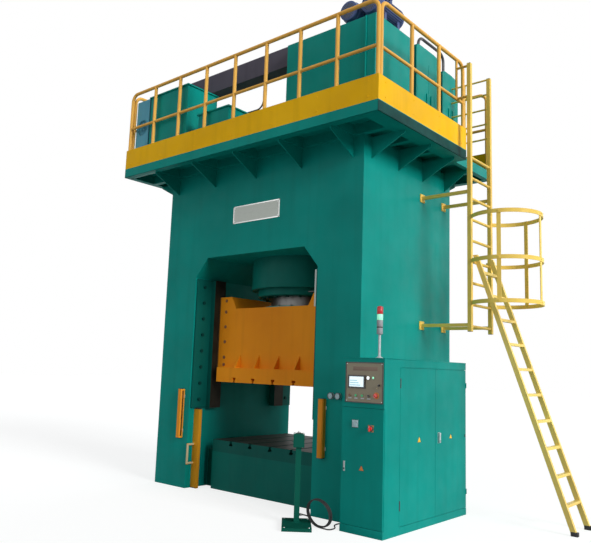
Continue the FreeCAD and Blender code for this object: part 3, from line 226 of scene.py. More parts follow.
class FinishTree(Tree):
    """Builds the node tree of one finish."""

    coat_roughness: float = 0.18

    def __init__(self, finish: Finish) -> None:
        """Start an empty tree with its shader.

        Args:
            finish: The finish to build.
        """
        self.finish = finish
        self.target = bpy.data.materials.new(finish.name)
        self.target.use_nodes = True
        super().__init__(self.target.node_tree)
        self.shader = self.tree.nodes["Principled BSDF"].inputs
        self.spot = self.node("ShaderNodeTexCoord").outputs["Object"]

    def build(self) -> bpy.types.Material:
        """Fill the tree in for the finish's surface.

        Returns:
            The material.
        """
        finish = self.finish
        for name, value in (("Base Color", (*finish.colour, 1)),
                            ("Roughness", finish.roughness),
                            ("Metallic", finish.metallic),
                            ("Coat Weight", finish.coat),
                            ("Coat Roughness", self.coat_roughness)):
            self.shader[name].default_value = value
        makers: dict[Surface, Callable[[], None]] = {
            Surface.ENAMEL: self.enamel,
            Surface.MACHINED: self.machined,
            Surface.TURNED: self.turned,
            Surface.SHEET: self.sheet,
            Surface.MOULDED: self.moulded,
            Surface.LIT: self.lit,
        }
        makers[finish.surface]()
        if finish.zone is not None:
            self.lay_zone(finish.zone)
        return self.target

    def lay_zone(self, zone: Zone) -> None:
        """Lay another surface, or painted shade, over a region of the node, by the node's own
        coordinates.

        Args:
            zone: The region and its surface.
        """
        parts = self.node("ShaderNodeSeparateXYZ", {0: self.spot})
        reach = self.maths("ABSOLUTE", parts.outputs[zone.axis])
        mask = self.maths("GREATER_THAN" if zone.above else "LESS_THAN", reach, zone.level)
        stain = self.spread(self.noise(5, 5), 0, 1)
        colour = self.blend(stain, shade(zone.colour, 0.6), shade(zone.colour, 1.3))
        for name, value in (("Base Color", colour), ("Roughness", zone.roughness),
                            ("Metallic", zone.metallic)):
            target = self.shader[name]
            under = target.links[0].from_socket if target.is_linked else target.default_value
            kind, first, second, out = ("RGBA", 6, 7, 2) if value is colour else (
                "FLOAT", 2, 3, 0)
            mix = self.node("ShaderNodeMix", {0: mask, first: under, second: value},
                            data_type=kind)
            self.link(mix.outputs[out], target)

    def noise(self, scale: float, detail: float = 3, stretch: Point = (1, 1, 1)) -> Socket:
        """Give a noise value over the surface.

        Args:
            scale: Features in a metre.
            detail: Octaves.
            stretch: Scale along each axis.

        Returns:
            The socket with a value about 0.5.
        """
        mapping = self.node("ShaderNodeMapping", {"Vector": self.spot, "Scale": stretch})
        return self.node("ShaderNodeTexNoise", {
            "Vector": mapping.outputs["Vector"], "Scale": scale, "Detail": detail,
        }).outputs["Fac"]

    def spread(self, value: Socket, low: float, high: float,
               start: float = 0.3, end: float = 0.7) -> Socket:
        """Map a noise value to a range.

        Args:
            value: The socket to map.
            low: The result at start.
            high: The result at end.
            start: The value that gives low.
            end: The value that gives high.

        Returns:
            The mapped socket.
        """
        return self.node("ShaderNodeMapRange", {
            "Value": value, "From Min": start, "From Max": end, "To Min": low, "To Max": high,
        }).outputs["Result"]

    def blend(self, share: Socket, first: Colour | Socket, second: Colour) -> Socket:
        """Mix two colours.

        Args:
            share: How much of the second shows.
            first: The first colour, or a socket with one.
            second: The second colour.

        Returns:
            The socket with the mixed colour.
        """
        start = (*first, 1) if isinstance(first, tuple) else first
        return self.node("ShaderNodeMix", {0: share, 6: start, 7: (*second, 1)},
                         data_type="RGBA").outputs[2]

    def tone(self, factor: float) -> Colour:
        """Give the finish's colour, lighter or darker."""
        return shade(self.finish.colour, factor)

    def lay(self, colour: Socket, texture: Socket, smoother: float, rougher: float) -> None:
        """Lead a colour and an uneven roughness into the shader.

        Args:
            colour: The socket with the colour.
            texture: The socket that varies the roughness.
            smoother: How far the roughness falls below the finish's own.
            rougher: How far it rises above it.
        """
        own = self.finish.roughness
        rough = self.spread(texture, own - smoother, own + rougher)
        self.link(colour, self.shader["Base Color"])
        self.link(rough, self.shader["Roughness"])

    def bump(self, height: Socket, strength: float, distance: float) -> None:
        """Raise the surface by a height.

        Args:
            height: The socket with the height.
            strength: Strength, 0 to 1.
            distance: Height in metres at a value of 1.
        """
        raised = self.node("ShaderNodeBump", {
            "Strength": strength, "Distance": distance, "Height": height})
        self.link(raised.outputs["Normal"], self.shader["Normal"])

    def enamel(self) -> None:
        """Brushed enamel: cloudy film thickness, faint runs, dust and a slight orange peel."""
        cloud = self.spread(self.noise(1.1), 0, 1)
        base = self.blend(cloud, self.tone(0.88), self.tone(1.12))
        runs = self.spread(self.noise(9, 5, (1, 1, 0.06)), 0, 0.35, 0.5, 0.78)
        worn = self.blend(runs, base, self.tone(0.72))
        dust = self.spread(self.noise(34, 6), 0, 0.12, 0.6, 0.82)
        pale = tuple(0.85 * part + 0.03 for part in self.finish.colour)
        self.lay(self.blend(dust, worn, pale), self.noise(6, 5), 0.07, 0.1)
        self.shader["Specular IOR Level"].default_value = 0.08
        self.bump(self.noise(260, 2), 0.12, 0.0006)

    def machined(self) -> None:
        """Milled steel: fine lines along X, with oil clouds over them."""
        lines = self.noise(4, 4, (0.6, 160, 160))
        oil = self.spread(self.noise(5, 4), 0, 0.6)
        base = self.blend(self.spread(lines, 0, 1), self.tone(0.8), self.tone(1.15))
        self.lay(self.blend(oil, base, self.tone(0.6)), lines, 0.08, 0.12)
        self.bump(lines, 0.25, 0.0003)

    def turned(self) -> None:
        """Ground round steel: fine rings across the vertical axis, with streaks along it."""
        rings = self.noise(3, 3, (0.5, 0.5, 240))
        streaks = self.spread(self.noise(7, 4, (2.4, 2.4, 0.1)), 0, 0.55)
        base = self.blend(self.spread(rings, 0, 1), self.tone(0.88), self.tone(1.08))
        self.lay(self.blend(streaks, base, self.tone(0.55)), rings, 0.05, 0.1)
        self.bump(rings, 0.18, 0.0002)

    def sheet(self) -> None:
        """Bare rolled sheet: fine lines along X and a few scuffs."""
        lines = self.noise(8, 3, (1, 60, 120))
        scuffs = self.spread(self.noise(22, 6, (1, 1, 2.5)), 0, 0.5, 0.6, 0.8)
        base = self.blend(self.spread(lines, 0, 1), self.tone(0.92), self.tone(1.06))
        self.lay(self.blend(scuffs, base, self.tone(0.72)), lines, 0.06, 0.08)
        self.bump(lines, 0.1, 0.0001)

    def moulded(self) -> None:
        """Moulded plastic or rubber: a fine grain and rubbed patches."""
        rubbed = self.spread(self.noise(30, 4), 0, 1)
        self.lay(self.blend(rubbed, self.tone(0.85), self.tone(1.15)), rubbed, 0.06, 0.08)
        self.bump(self.noise(900, 2), 0.15, 0.0001)

    def lit(self) -> None:
        """A lens or screen lit from behind, a little uneven."""
        self.shader["Emission Color"].default_value = (*self.finish.colour, 1)
        self.shader["Emission Strength"].default_value = self.finish.glow
        haze = self.spread(self.noise(25), 0, 1)
        self.link(self.blend(haze, self.tone(0.93), self.tone(1.05)), self.shader["Base Color"])


def enamel(name: str, colour: Screen, roughness: float = 0.46, coat: float = 0.02,
           zone: Zone | None = None) -> Finish:
    """Give an enamel of a screen colour."""
    return Finish(name, Surface.ENAMEL, from_srgb(*colour), roughness, coat=coat, zone=zone)


def sheet(name: str, colour: Screen, roughness: float, metallic: float) -> Finish:
    """Give a bare sheet of a screen colour."""
    return Finish(name, Surface.SHEET, from_srgb(*colour), roughness, metallic)


def moulded(name: str, colour: Screen, roughness: float = 0.4, coat: float = 0.0) -> Finish:
    """Give a plastic or rubber of a screen colour."""
    return Finish(name, Surface.MOULDED, from_srgb(*colour), roughness, coat=coat)


def lit(name: str, colour: Screen, glow: float, roughness: float = 0.3) -> Finish:
    """Give a lens or screen of a screen colour."""
    return Finish(name, Surface.LIT, from_srgb(*colour), roughness, glow=glow)


PRESS_GREEN: Screen = (2, 142, 132)


class Finishes(Enum):
    """Every finish on the press."""

    GREEN = enamel("green_enamel", PRESS_GREEN, 0.48)
    # Painted shade: the gibs get a darker green than the frame for the shade inside the window;
    # their zone is the dark oily guide face.
    GIB_PAINTED_SHADE = enamel("gib_painted_shade_enamel", (6, 92, 84), 0.5, 0,
                 Zone(0, 1.002, False, (0.024, 0.020, 0.013), 0.5, 0.1))
    # Painted shade: the bolster's sides get a darker green for the shade over the bed; the zone
    # gives its top dark oily steel.
    BOLSTER_PAINTED_SHADE = enamel("bolster_painted_shade_enamel", (6, 88, 80), 0.48,
                     zone=Zone(2, 0.6595, True, (0.026, 0.032, 0.027), 0.5))
    # Painted shade: the zone darkens the outer sides of the platform's edge beam, which lie in
    # shade under the toe board.
    BEAM_PAINTED_SHADE = enamel("beam_painted_shade_enamel", PRESS_GREEN, 0.5,
                  zone=Zone(0, 2.284, True, from_srgb(6, 64, 60), 0.6))
    # Painted shade: a darker copy of the press green for the bed, main cylinder and gland ring,
    # which lie in deeper shade.
    PAINTED_SHADE_GREEN = enamel("painted_shade_enamel", (6, 104, 94), 0.5)
    ORANGE = enamel("orange_enamel", (255, 154, 30), 0.45)
    YELLOW = enamel("yellow_enamel", (250, 188, 8))
    RAIL = enamel("rail_enamel", (242, 184, 88))
    LADDER = enamel("ladder_enamel", (252, 210, 104))
    # Painted light: a paler copy of the ladder paint for the lower ladder, whose faces towards the
    # front lie in shade.
    LADDER_PAINTED_LIGHT = enamel("painted_light_ladder_enamel", (255, 216, 120))
    PROP = enamel("prop_enamel", (222, 152, 36))
    # The light curtains' own orange, darkened a little as painted shade.
    CURTAIN = enamel("curtain_enamel", (236, 152, 46), 0.4)
    POST = enamel("pedestal_enamel", (6, 82, 68))
    BOLT = enamel("painted_bolt", (4, 62, 58), 0.5, 0)
    BLUE = enamel("light_blue_enamel", (96, 172, 196))
    MOTOR = enamel("motor_enamel", (82, 97, 140), 0.5)
    DUCT = enamel("duct_enamel", (88, 84, 96), 0.62, 0)
    BEIGE = enamel("handle_enamel", (206, 190, 150), 0.45, 0)
    MACHINED = Finish("machined_steel", Surface.MACHINED, (0.36, 0.36, 0.35), 0.38, 0.95)
    DARK_STEEL = Finish("blackened_steel", Surface.MACHINED, (0.07, 0.07, 0.075), 0.45, 0.8)
    BROWNED = Finish("browned_steel", Surface.MACHINED, (0.26, 0.11, 0.045), 0.55, 0.2)
    PLUNGER = Finish("plunger_chrome", Surface.TURNED, (0.14, 0.14, 0.135), 0.36, 0.9,
                     zone=Zone(2, 2.5115, False, from_srgb(*PRESS_GREEN), 0.48))
    BRONZE = Finish("oiled_bronze", Surface.MACHINED, (0.42, 0.24, 0.09), 0.38, 0.9)
    ZINC = Finish("zinc_plated", Surface.SHEET, (0.62, 0.63, 0.62), 0.35, 0.9)
    SCALE = Finish("scale_aluminium", Surface.SHEET, (0.44, 0.5, 0.47), 0.5, 0.2)
    NAMEPLATE = sheet("nameplate_sheet", (190, 196, 188), 0.42, 0.15)
    PANEL = sheet("panel_sheet", (128, 120, 100), 0.45, 0.15)
    STRIP = sheet("label_strip", (120, 100, 86), 0.5, 0.1)
    LENS = moulded("brown_lens", (92, 52, 24), 0.25, 0.3)
    GREY = moulded("grey_plastic", (92, 96, 100), 0.5)
    LIGHT_GREY = moulded("light_grey_plastic", (186, 192, 194), 0.45)
    WHITE = moulded("white_plastic", (232, 232, 226))
    BLACK = moulded("black_plastic", (26, 26, 28), 0.42)
    RED = moulded("red_plastic", (160, 34, 22), coat=0.1)
    GREEN_CAP = moulded("green_plastic", (24, 66, 36), coat=0.1)
    YELLOW_CAP = moulded("yellow_plastic", (240, 196, 20), 0.38)
    AMBER = moulded("amber_plastic", (206, 122, 48))
    RUBBER = moulded("black_rubber", (22, 22, 23), 0.68)
    DIAL = moulded("dial_white", (176, 206, 212), 0.5)
    LAMP_WHITE = lit("white_lens", (235, 244, 250), 1.0)
    LAMP_GREEN = lit("green_lens", (150, 235, 195), 0.5)
    LAMP_RED = lit("red_lens", (176, 26, 34), 0.2)
    SCREEN = lit("screen_glow", (216, 236, 242), 0.8, 0.2)
    SCREEN_BAR = lit("screen_bars", (150, 190, 205), 0.6, 0.2)

    def material(self) -> bpy.types.Material:
        """Give this finish's material."""
        return self.value.material()


# ------------------------------------------------------------------ meshes


def settle(made: bpy.types.Object, body: str) -> None:
    """Let an object ride on its body.

    Args:
        made: The object.
        body: The body's name.
    """
    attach(made, body)
    log.info("%s rides on %s", made.name, body)


class Piece:
    """One piece in the making, in the press's frame and in metres."""

    def __init__(self, name: str) -> None:
        """Start an empty piece.

        Args:
            name: The object's name.
        """
        self.name = name
        self.mesh = bmesh.new()
        self.finishes: list[Finishes] = []

    def _dress(self, faces: Iterable[bmesh.types.BMFace], finish: Finishes) -> None:
        """Give faces their finish.

        Args:
            faces: The faces.
            finish: Their finish.
        """
        if finish not in self.finishes:
            self.finishes.append(finish)
        index = self.finishes.index(finish)
        for face in faces:
            face.material_index = index
            face.smooth = True

    def _skin(self, low: Corners, high: Corners) -> list[bmesh.types.BMFace]:
        """Join two rings of points, or a ring and a tip.

        Args:
            low: The lower ring.
            high: The upper ring.

        Returns:
            The faces between them.
        """
        faces = []
        total = max(len(low), len(high))
        for step in range(total):
            after = (step + 1) % total
            corners = dict.fromkeys((low[step % len(low)], low[after % len(low)],
                                     high[after % len(high)], high[step % len(high)]))
            if len(corners) > 2:
                faces.append(self.mesh.faces.new(list(corners)))
        return faces

    def _lids(self, low: Corners, high: Corners) -> list[bmesh.types.BMFace]:
        """Close both ends, where an end is wider than a point."""
        return [self.mesh.faces.new(ring) for ring in (low[::-1], high) if len(ring) > 2]

    def slab(self, low: Point, high: Point, finish: Finishes, bevel: float = 0.001) -> None:
        """Add a box with eased edges.

        Args:
            low: Its lowest corner.
            high: Its highest corner.
            finish: Its finish.
            bevel: The width of its eased edges.
        """
        size = Vector(high) - Vector(low)
        matrix = Matrix.Translation((Vector(high) + Vector(low)) / 2) @ Matrix.Diagonal(
            (*size, 1))
        before = set(self.mesh.faces)
        made = bmesh.ops.create_cube(self.mesh, size=1, matrix=matrix)["verts"]
        if bevel > 0:
            edges = list({edge for vert in made for edge in vert.link_edges})
            bmesh.ops.bevel(self.mesh, geom=edges, offset=bevel, segments=2,
                            affect="EDGES", profile=0.6)
        self._dress(set(self.mesh.faces) - before, finish)

    def frame(self, low: Vector, high: Vector, face: float, lift: float, wide: float,
              finish: Finishes) -> None:
        """Frame a plate that faces the front with four flat bars.

        Args:
            low: The plate's lowest corner.
            high: Its highest corner.
            face: Where the bars' backs lie.
            lift: Their thickness.
            wide: Their width.
            finish: Their finish.
        """
        for left, bottom, right, top in ((low.x, low.z, high.x, low.z + wide),
                                         (low.x, high.z - wide, high.x, high.z),
                                         (low.x, low.z, low.x + wide, high.z),
                                         (high.x - wide, low.z, high.x, high.z)):
            self.slab((left, face - lift, bottom), (right, face, top), finish)

    def lathe(self, base: Point, axis: Point, profile: Sequence[tuple[float, float]],
              finish: Finishes, steps: int = 32) -> None:
        """Add a turned solid, or a turned ring where the profile ends at its start.

        Args:
            base: The point on its axis at height 0.
            axis: The way of its axis.
            profile: Radius and height of each ring, from the base up.
            finish: Its finish.
            steps: Faces round it.
        """
        turn = Vector(UP).rotation_difference(Vector(axis)).to_matrix().to_4x4()
        matrix = Matrix.Translation(Vector(base)) @ turn
        rings: list[list[bmesh.types.BMVert]] = []
        hollow = profile[0] == profile[-1]
        for radius, height in profile[:-1] if hollow else profile:
            circle = around(steps) if radius > 0 else [(0, 0)]
            rings.append([self.mesh.verts.new(matrix @ Vector((radius * across, radius * along,
                                                               height)))
                          for across, along in circle])
        if hollow:
            rings.append(rings[0])
        faces = []
        for low, high in zip(rings, rings[1:]):
            faces += self._skin(low, high)
        if not hollow:
            faces += self._lids(rings[0], rings[-1])
        self._dress(faces, finish)

    def prism(self, outline: Sequence[Point], push: Point, finish: Finishes) -> None:
        """Add a plate of any outline.

        Args:
            outline: Its corners, in one plane.
            push: The way and length of its thickness.
            finish: Its finish.
        """
        low = [self.mesh.verts.new(Vector(point)) for point in outline]
        high = [self.mesh.verts.new(Vector(point) + Vector(push)) for point in outline]
        self._dress(self._lids(low, high) + self._skin(low, high), finish)

    def tube(self, path: Sequence[Point], radius: float, finish: Finishes,
             sides: int = 20) -> None:
        """Add a round bar along a path.

        Args:
            path: The points of its centre line.
            radius: Its radius.
            finish: Its finish.
            sides: Faces round it.
        """
        points = [Vector(point) for point in path]
        rings = []
        side = None
        for step, point in enumerate(points):
            before = points[max(step - 1, 0)]
            after = points[min(step + 1, len(points) - 1)]
            way = (after - before).normalized()
            if side is None:
                side = way.orthogonal().normalized()
            side = (side - way * side.dot(way)).normalized()
            up = way.cross(side)
            rings.append([self.mesh.verts.new(point + radius * (side * across + up * along))
                          for across, along in around(sides)])
        faces = self._lids(rings[0], rings[-1])
        for low, high in zip(rings, rings[1:]):
            faces += self._skin(low, high)
        self._dress(faces, finish)

    def done(self, slot: str, body: str = "press", sharp: float = 38) -> None:
        """Make the object, with sharp edges kept sharp.

        Args:
            slot: The record's slot of its main finish; not used.
            body: The body that it rides on.
            sharp: The least angle, in degrees, that stays a sharp edge.
        """
        bmesh.ops.recalc_face_normals(self.mesh, faces=self.mesh.faces[:])
        for edge in self.mesh.edges:
            if len(edge.link_faces) == 2:
                edge.smooth = edge.calc_face_angle() < math.radians(sharp)
        data = bpy.data.meshes.new(self.name)
        self.mesh.to_mesh(data)
        self.mesh.free()
        for finish in self.finishes:
            data.materials.append(finish.material())
        settle(place(self.name, data), body)


# ------------------------------------------------------------------ repeated pieces


class RowTree(Tree):
    """A Geometry Nodes tree that repeats a small solid along a line or round a circle."""

    kinds: dict[type, str] = {int: "NodeSocketInt", float: "NodeSocketFloat",
                              tuple: "NodeSocketVector"}

    def __init__(self, name: str, values: dict[str, int | float | Point]) -> None:
        """Start a tree with its output and its named inputs.

        Args:
            name: The tree's name.
            values: The name of each input, with the value that this use of the tree gets.
        """
        super().__init__(bpy.data.node_groups.new(name, "GeometryNodeTree"))
        sockets = self.tree.interface
        sockets.new_socket("Geometry", in_out="OUTPUT", socket_type="NodeSocketGeometry")
        self.values: dict[str, object] = {}
        for label, value in values.items():
            made = sockets.new_socket(label, in_out="INPUT",
                                      socket_type=self.kinds[type(value)])
            self.values[made.identifier] = value
        self.given = self.node("NodeGroupInput").outputs

    def bake(self, line: bpy.types.Node, solid: Socket, turn: Socket,
             finish: Finishes) -> bpy.types.Mesh:
        """Set a solid on every point of a line, end the tree and run it on an empty mesh.

        Args:
            line: The node that lays the points.
            solid: The solid that repeats.
            turn: The Euler turn of each solid.
            finish: The finish to set.

        Returns:
            The plain mesh.
        """
        euler = self.node("FunctionNodeEulerToRotation", {0: turn})
        onto = self.node("GeometryNodeInstanceOnPoints", {
            "Points": line.outputs["Mesh"], "Instance": solid, "Rotation": euler.outputs[0]})
        real = self.node("GeometryNodeRealizeInstances", {"Geometry": onto.outputs["Instances"]})
        dress = self.node("GeometryNodeSetMaterial", {
            "Geometry": real.outputs["Geometry"], "Material": finish.material()})
        self.node("NodeGroupOutput", {"Geometry": dress.outputs["Geometry"]})
        holder = place("rows", bpy.data.meshes.new("rows"))
        modifier = holder.modifiers.new("Rows", "NODES")
        modifier.node_group = self.tree
        for identifier, value in self.values.items():
            modifier[identifier] = value
        bpy.context.view_layer.update()
        graph = bpy.context.evaluated_depsgraph_get()
        mesh = bpy.data.meshes.new_from_object(holder.evaluated_get(graph))
        holder.modifiers.remove(modifier)
        bpy.data.objects.remove(holder)
        return mesh


@dataclass(frozen=True)
class Stud:
    """The small solid that a row repeats: sides, radius, height and a collar."""

    sides: int
    radius: float
    height: float
    collar: float = 0.0
    collar_sides: int = 20

    def solid(self, tree: RowTree) -> Socket:
        """Build the solid in a tree: a head on a thin collar.

        Args:
            tree: The tree to build in.

        Returns:
            The socket with its mesh.
        """
        height = tree.given["Height"]
        head = tree.node("GeometryNodeMeshCylinder", {
            "Vertices": self.sides, "Radius": tree.given["Radius"], "Depth": height})
        rise = tree.node("ShaderNodeCombineXYZ", {"Z": tree.maths("MULTIPLY", height, 0.5)})
        lift = tree.node("GeometryNodeTransform", {
            "Geometry": head.outputs["Mesh"], "Translation": rise.outputs[0]})
        if self.collar <= 0:
            return lift.outputs["Geometry"]
        washer = tree.node("GeometryNodeMeshCylinder", {
            "Vertices": self.collar_sides, "Radius": self.collar, "Depth": self.height * 0.5})
        both = tree.node("GeometryNodeJoinGeometry", {"Geometry": lift.outputs["Geometry"]})
        tree.link(washer.outputs["Mesh"], both.inputs["Geometry"])
        return both.outputs["Geometry"]


@dataclass(frozen=True)
class Row:
    """Where a row of studs runs: its start and facing, and its step and count."""

    start: Point
    facing: Point
    step: Point = (0, 0, 0)
    count: int = 1

    def mesh(self, name: str, stud: Stud, finish: Finishes) -> bpy.types.Mesh:
        """Repeat a stud along this row.

        Args:
            name: The tree's name.
            stud: The solid that repeats.
            finish: Its finish.

        Returns:
            The plain mesh.
        """
        turn = tuple(Vector(UP).rotation_difference(Vector(self.facing)).to_euler())
        tree = RowTree(name, {"Count": self.count, "Start": self.start, "Step": self.step,
                              "Turn": turn, "Radius": stud.radius, "Height": stud.height})
        line = tree.node("GeometryNodeMeshLine", {
            "Count": tree.given["Count"], "Start Location": tree.given["Start"],
            "Offset": tree.given["Step"]}, mode="OFFSET")
        return tree.bake(line, stud.solid(tree), tree.given["Turn"], finish)


@dataclass(frozen=True)
class Ring:
    """A ring of bars about an axis: their size is radial, tangential and axial."""

    centre: Point
    axis: Point
    radius: float
    count: int
    size: Point
    start: float = 0.0
    sweep: float = 360.0

    def mesh(self, name: str, finish: Finishes) -> bpy.types.Mesh:
        """Repeat the bar round this ring.

        Args:
            name: The tree's name.
            finish: The bars' finish.

        Returns:
            The plain mesh.
        """
        gaps = self.count if self.sweep >= 360 else max(self.count - 1, 1)
        tree = RowTree(name, {"Count": self.count, "Radius": self.radius, "Bar Size": self.size,
                              "Start": math.radians(self.start),
                              "Step": math.radians(self.sweep) / gaps})
        line = tree.node("GeometryNodeMeshLine", {
            "Count": tree.given["Count"], "Offset": (0, 0, 0)}, mode="OFFSET")
        box = tree.node("GeometryNodeMeshCube", {"Size": tree.given["Bar Size"]})
        reach = tree.node("ShaderNodeCombineXYZ", {"X": tree.given["Radius"]})
        shift = tree.node("GeometryNodeTransform", {
            "Geometry": box.outputs["Mesh"], "Translation": reach.outputs[0]})
        angle = tree.maths("MULTIPLY_ADD", tree.node("GeometryNodeInputIndex").outputs[0],
                           tree.given["Step"], tree.given["Start"])
        spin = tree.node("ShaderNodeCombineXYZ", {"Z": angle})
        mesh = tree.bake(line, shift.outputs["Geometry"], spin.outputs[0], finish)
        turned = Vector(UP).rotation_difference(Vector(self.axis)).to_matrix()
        mesh.transform(Matrix.Translation(Vector(self.centre)) @ turned.to_4x4())
        return mesh


def joined_piece(name: str, meshes: Iterable[bpy.types.Mesh], finish: Finishes,
                 body: str) -> None:
    """Make one object of baked meshes.

    Args:
        name: The piece's name.
        meshes: Its parts.
        finish: Its finish.
        body: The body that it rides on.
    """
    joined = bmesh.new()
    for mesh in meshes:
        joined.from_mesh(mesh)
        bpy.data.meshes.remove(mesh)
    data = bpy.data.meshes.new(name)
    joined.to_mesh(data)
    joined.free()
    data.materials.append(finish.material())
    settle(place(name, data), body)


def stud_rows(name: str, rows: Sequence[Row], stud: Stud, finish: Finishes,
              body: str = "press") -> None:
    """Make rows of studs, such as bolt heads, as one piece.

    Args:
        name: The piece's name.
        rows: Where each row runs.
        stud: The solid that repeats.
        finish: Its finish.
        body: The body that it rides on.
    """
    meshes = (row.mesh(f"{name}_{number}", stud, finish) for number, row in enumerate(rows))
    joined_piece(name, meshes, finish, body)


def bar_rings(name: str, rings: Sequence[Ring], finish: Finishes,
              body: str = "press") -> None:
    """Make rings of small bars, such as fins or dial ticks, as one piece.

    Args:
        name: The piece's name.
        rings: Each ring.
        finish: The finish.
        body: The body that it rides on.
    """
    meshes = (ring.mesh(f"{name}_{number}", finish) for number, ring in enumerate(rings))
    joined_piece(name, meshes, finish, body)


# ------------------------------------------------------------------ the photograph's view


@dataclass
class Studio:
    """Camera, lamps, floor and backdrop."""

    eye: Point = (6.086, -7.234, 1.669)
    yaw: float = 0.712
    pitch: float = 0.1454
    roll: float = 0.0349
    focal_pixels: float = 661.837
    frame_width: int = 591
    sensor: float = 36.0
    backdrop: Colour = (1.0, 1.0, 1.0)
    sky: Colour = (0.93, 0.97, 1.0)
    sky_strength: float = 0.17
    floor_colour: Colour = (0.36, 0.37, 0.37)
    floor_glow: float = 0.78
    floor_reach: float = 60.0

    def build(self) -> None:
        """Set everything up."""
        self.camera()
        self.lamps()
        self.world()
        self.floor()
        bpy.context.scene.view_settings.view_transform = "Standard"

    def camera(self) -> None:
        """Place the camera as the photograph was taken."""
        forward = Vector((-math.sin(self.yaw) * math.cos(self.pitch),
                          math.cos(self.yaw) * math.cos(self.pitch), math.sin(self.pitch)))
        level = Vector((math.cos(self.yaw), math.sin(self.yaw), 0))
        upright = level.cross(forward)
        right = level * math.cos(self.roll) + upright * math.sin(self.roll)
        up = upright * math.cos(self.roll) - level * math.sin(self.roll)
        data = bpy.data.cameras.new("camera")
        data.sensor_width = self.sensor
        data.lens = self.sensor * self.focal_pixels / self.frame_width
        data.clip_end = 200.0
        made = place("camera", data)
        made.matrix_world = Matrix((
            (right.x, up.x, -forward.x, self.eye[0]),
            (right.y, up.y, -forward.y, self.eye[1]),
            (right.z, up.z, -forward.z, self.eye[2]),
            (0, 0, 0, 1)))
        bpy.context.scene.camera = made

    @staticmethod
    def lamps() -> None:
        """Light the right side most, as the photograph does, with a soft fill."""
        for name, strength, spread, aim in (
                ("key_lamp", 2.9, 25, (-0.93, 0.10, -0.36)),
                ("front_lamp", 0.7, 60, (0.25, 0.93, -0.28)),
                ("rear_lamp", 0.9, 60, (-0.1, -0.9, -0.4))):
            data = bpy.data.lights.new(name, "SUN")
            data.energy = strength
            data.angle = math.radians(spread)
            place(name, data).rotation_euler = Vector(DOWN).rotation_difference(
                Vector(aim)).to_euler()

    def world(self) -> None:
        """Give the press a soft sky, and the camera a white backdrop."""
        world = bpy.data.worlds.new("studio")
        bpy.context.scene.world = world
        world.use_nodes = True
        tree = Tree(world.node_tree)
        soft = tree.tree.nodes["Background"]
        soft.inputs["Color"].default_value = (*self.sky, 1)
        soft.inputs["Strength"].default_value = self.sky_strength
        plain = tree.node("ShaderNodeBackground", {"Color": (*self.backdrop, 1), "Strength": 1})
        mix = tree.node("ShaderNodeMixShader", {
            0: self.seen(tree), 1: soft.outputs[0], 2: plain.outputs[0]})
        tree.link(mix.outputs[0], tree.tree.nodes["World Output"].inputs["Surface"])

    @staticmethod
    def seen(tree: Tree) -> Socket:
        """Give 1 for camera, mirrored and refracted rays, and 0 for the rest.

        Args:
            tree: The tree to build in.

        Returns:
            The socket.
        """
        rays = tree.node("ShaderNodeLightPath").outputs
        value = rays["Is Camera Ray"]
        for name in ("Is Glossy Ray", "Is Transmission Ray"):
            value = tree.maths("MAXIMUM", value, rays[name])
        return value

    def floor(self) -> None:
        """Lay the pale floor, which keeps the press's shadow."""
        data = bpy.data.meshes.new("floor")
        reach = self.floor_reach
        data.from_pydata([(-reach, -reach, 0), (reach, -reach, 0), (reach, reach, 0),
                          (-reach, reach, 0)], [], [(0, 1, 2, 3)])
        made = place("floor", data)
        material = bpy.data.materials.new("floor")
        material.use_nodes = True
        tree = Tree(material.node_tree)
        tree.tree.nodes.remove(tree.tree.nodes["Principled BSDF"])
        matt = tree.node("ShaderNodeBsdfDiffuse", {"Color": (*self.floor_colour, 1)})
        glow = tree.node("ShaderNodeEmission", {
            "Color": (*self.backdrop, 1), "Strength": self.floor_glow})
        none = tree.node("ShaderNodeEmission", {"Strength": 0})
        pick = tree.node("ShaderNodeMixShader", {
            0: self.seen(tree), 1: none.outputs[0], 2: glow.outputs[0]})
        both = tree.node("ShaderNodeAddShader", {0: matt.outputs[0], 1: pick.outputs[0]})
        tree.link(both.outputs[0], tree.tree.nodes["Material Output"].inputs["Surface"])
        data.materials.append(material)
        made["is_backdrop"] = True


# ------------------------------------------------------------------ cable


@dataclass(frozen=True)
class Pedestal:
    """Where the pedestal stands, how it is turned and where its cable leaves."""

    left: float = 1.290
    front: float = -1.520
    turn: float = math.radians(41)
    top: float = 0.965
    gland_out: float = 0.042
    gland_up: float = 0.110

    @property
    def spot(self) -> Vector:
        """Give the middle of its post on the floor."""
        return Vector((self.left, self.front, 0))

    @property
    def across(self) -> Vector:
        """Give the way of its box's width."""
        return Vector((math.cos(self.turn), math.sin(self.turn), 0))

    @property
    def back(self) -> Vector:
        """Give the way to its box's back."""
        return Vector((-math.sin(self.turn), math.cos(self.turn), 0))

    @property
    def gland(self) -> Vector:
        """Give the point where its cable leaves."""
        return self.spot + self.across * self.gland_out + Vector((0, 0, self.gland_up))


PEDESTAL = Pedestal()


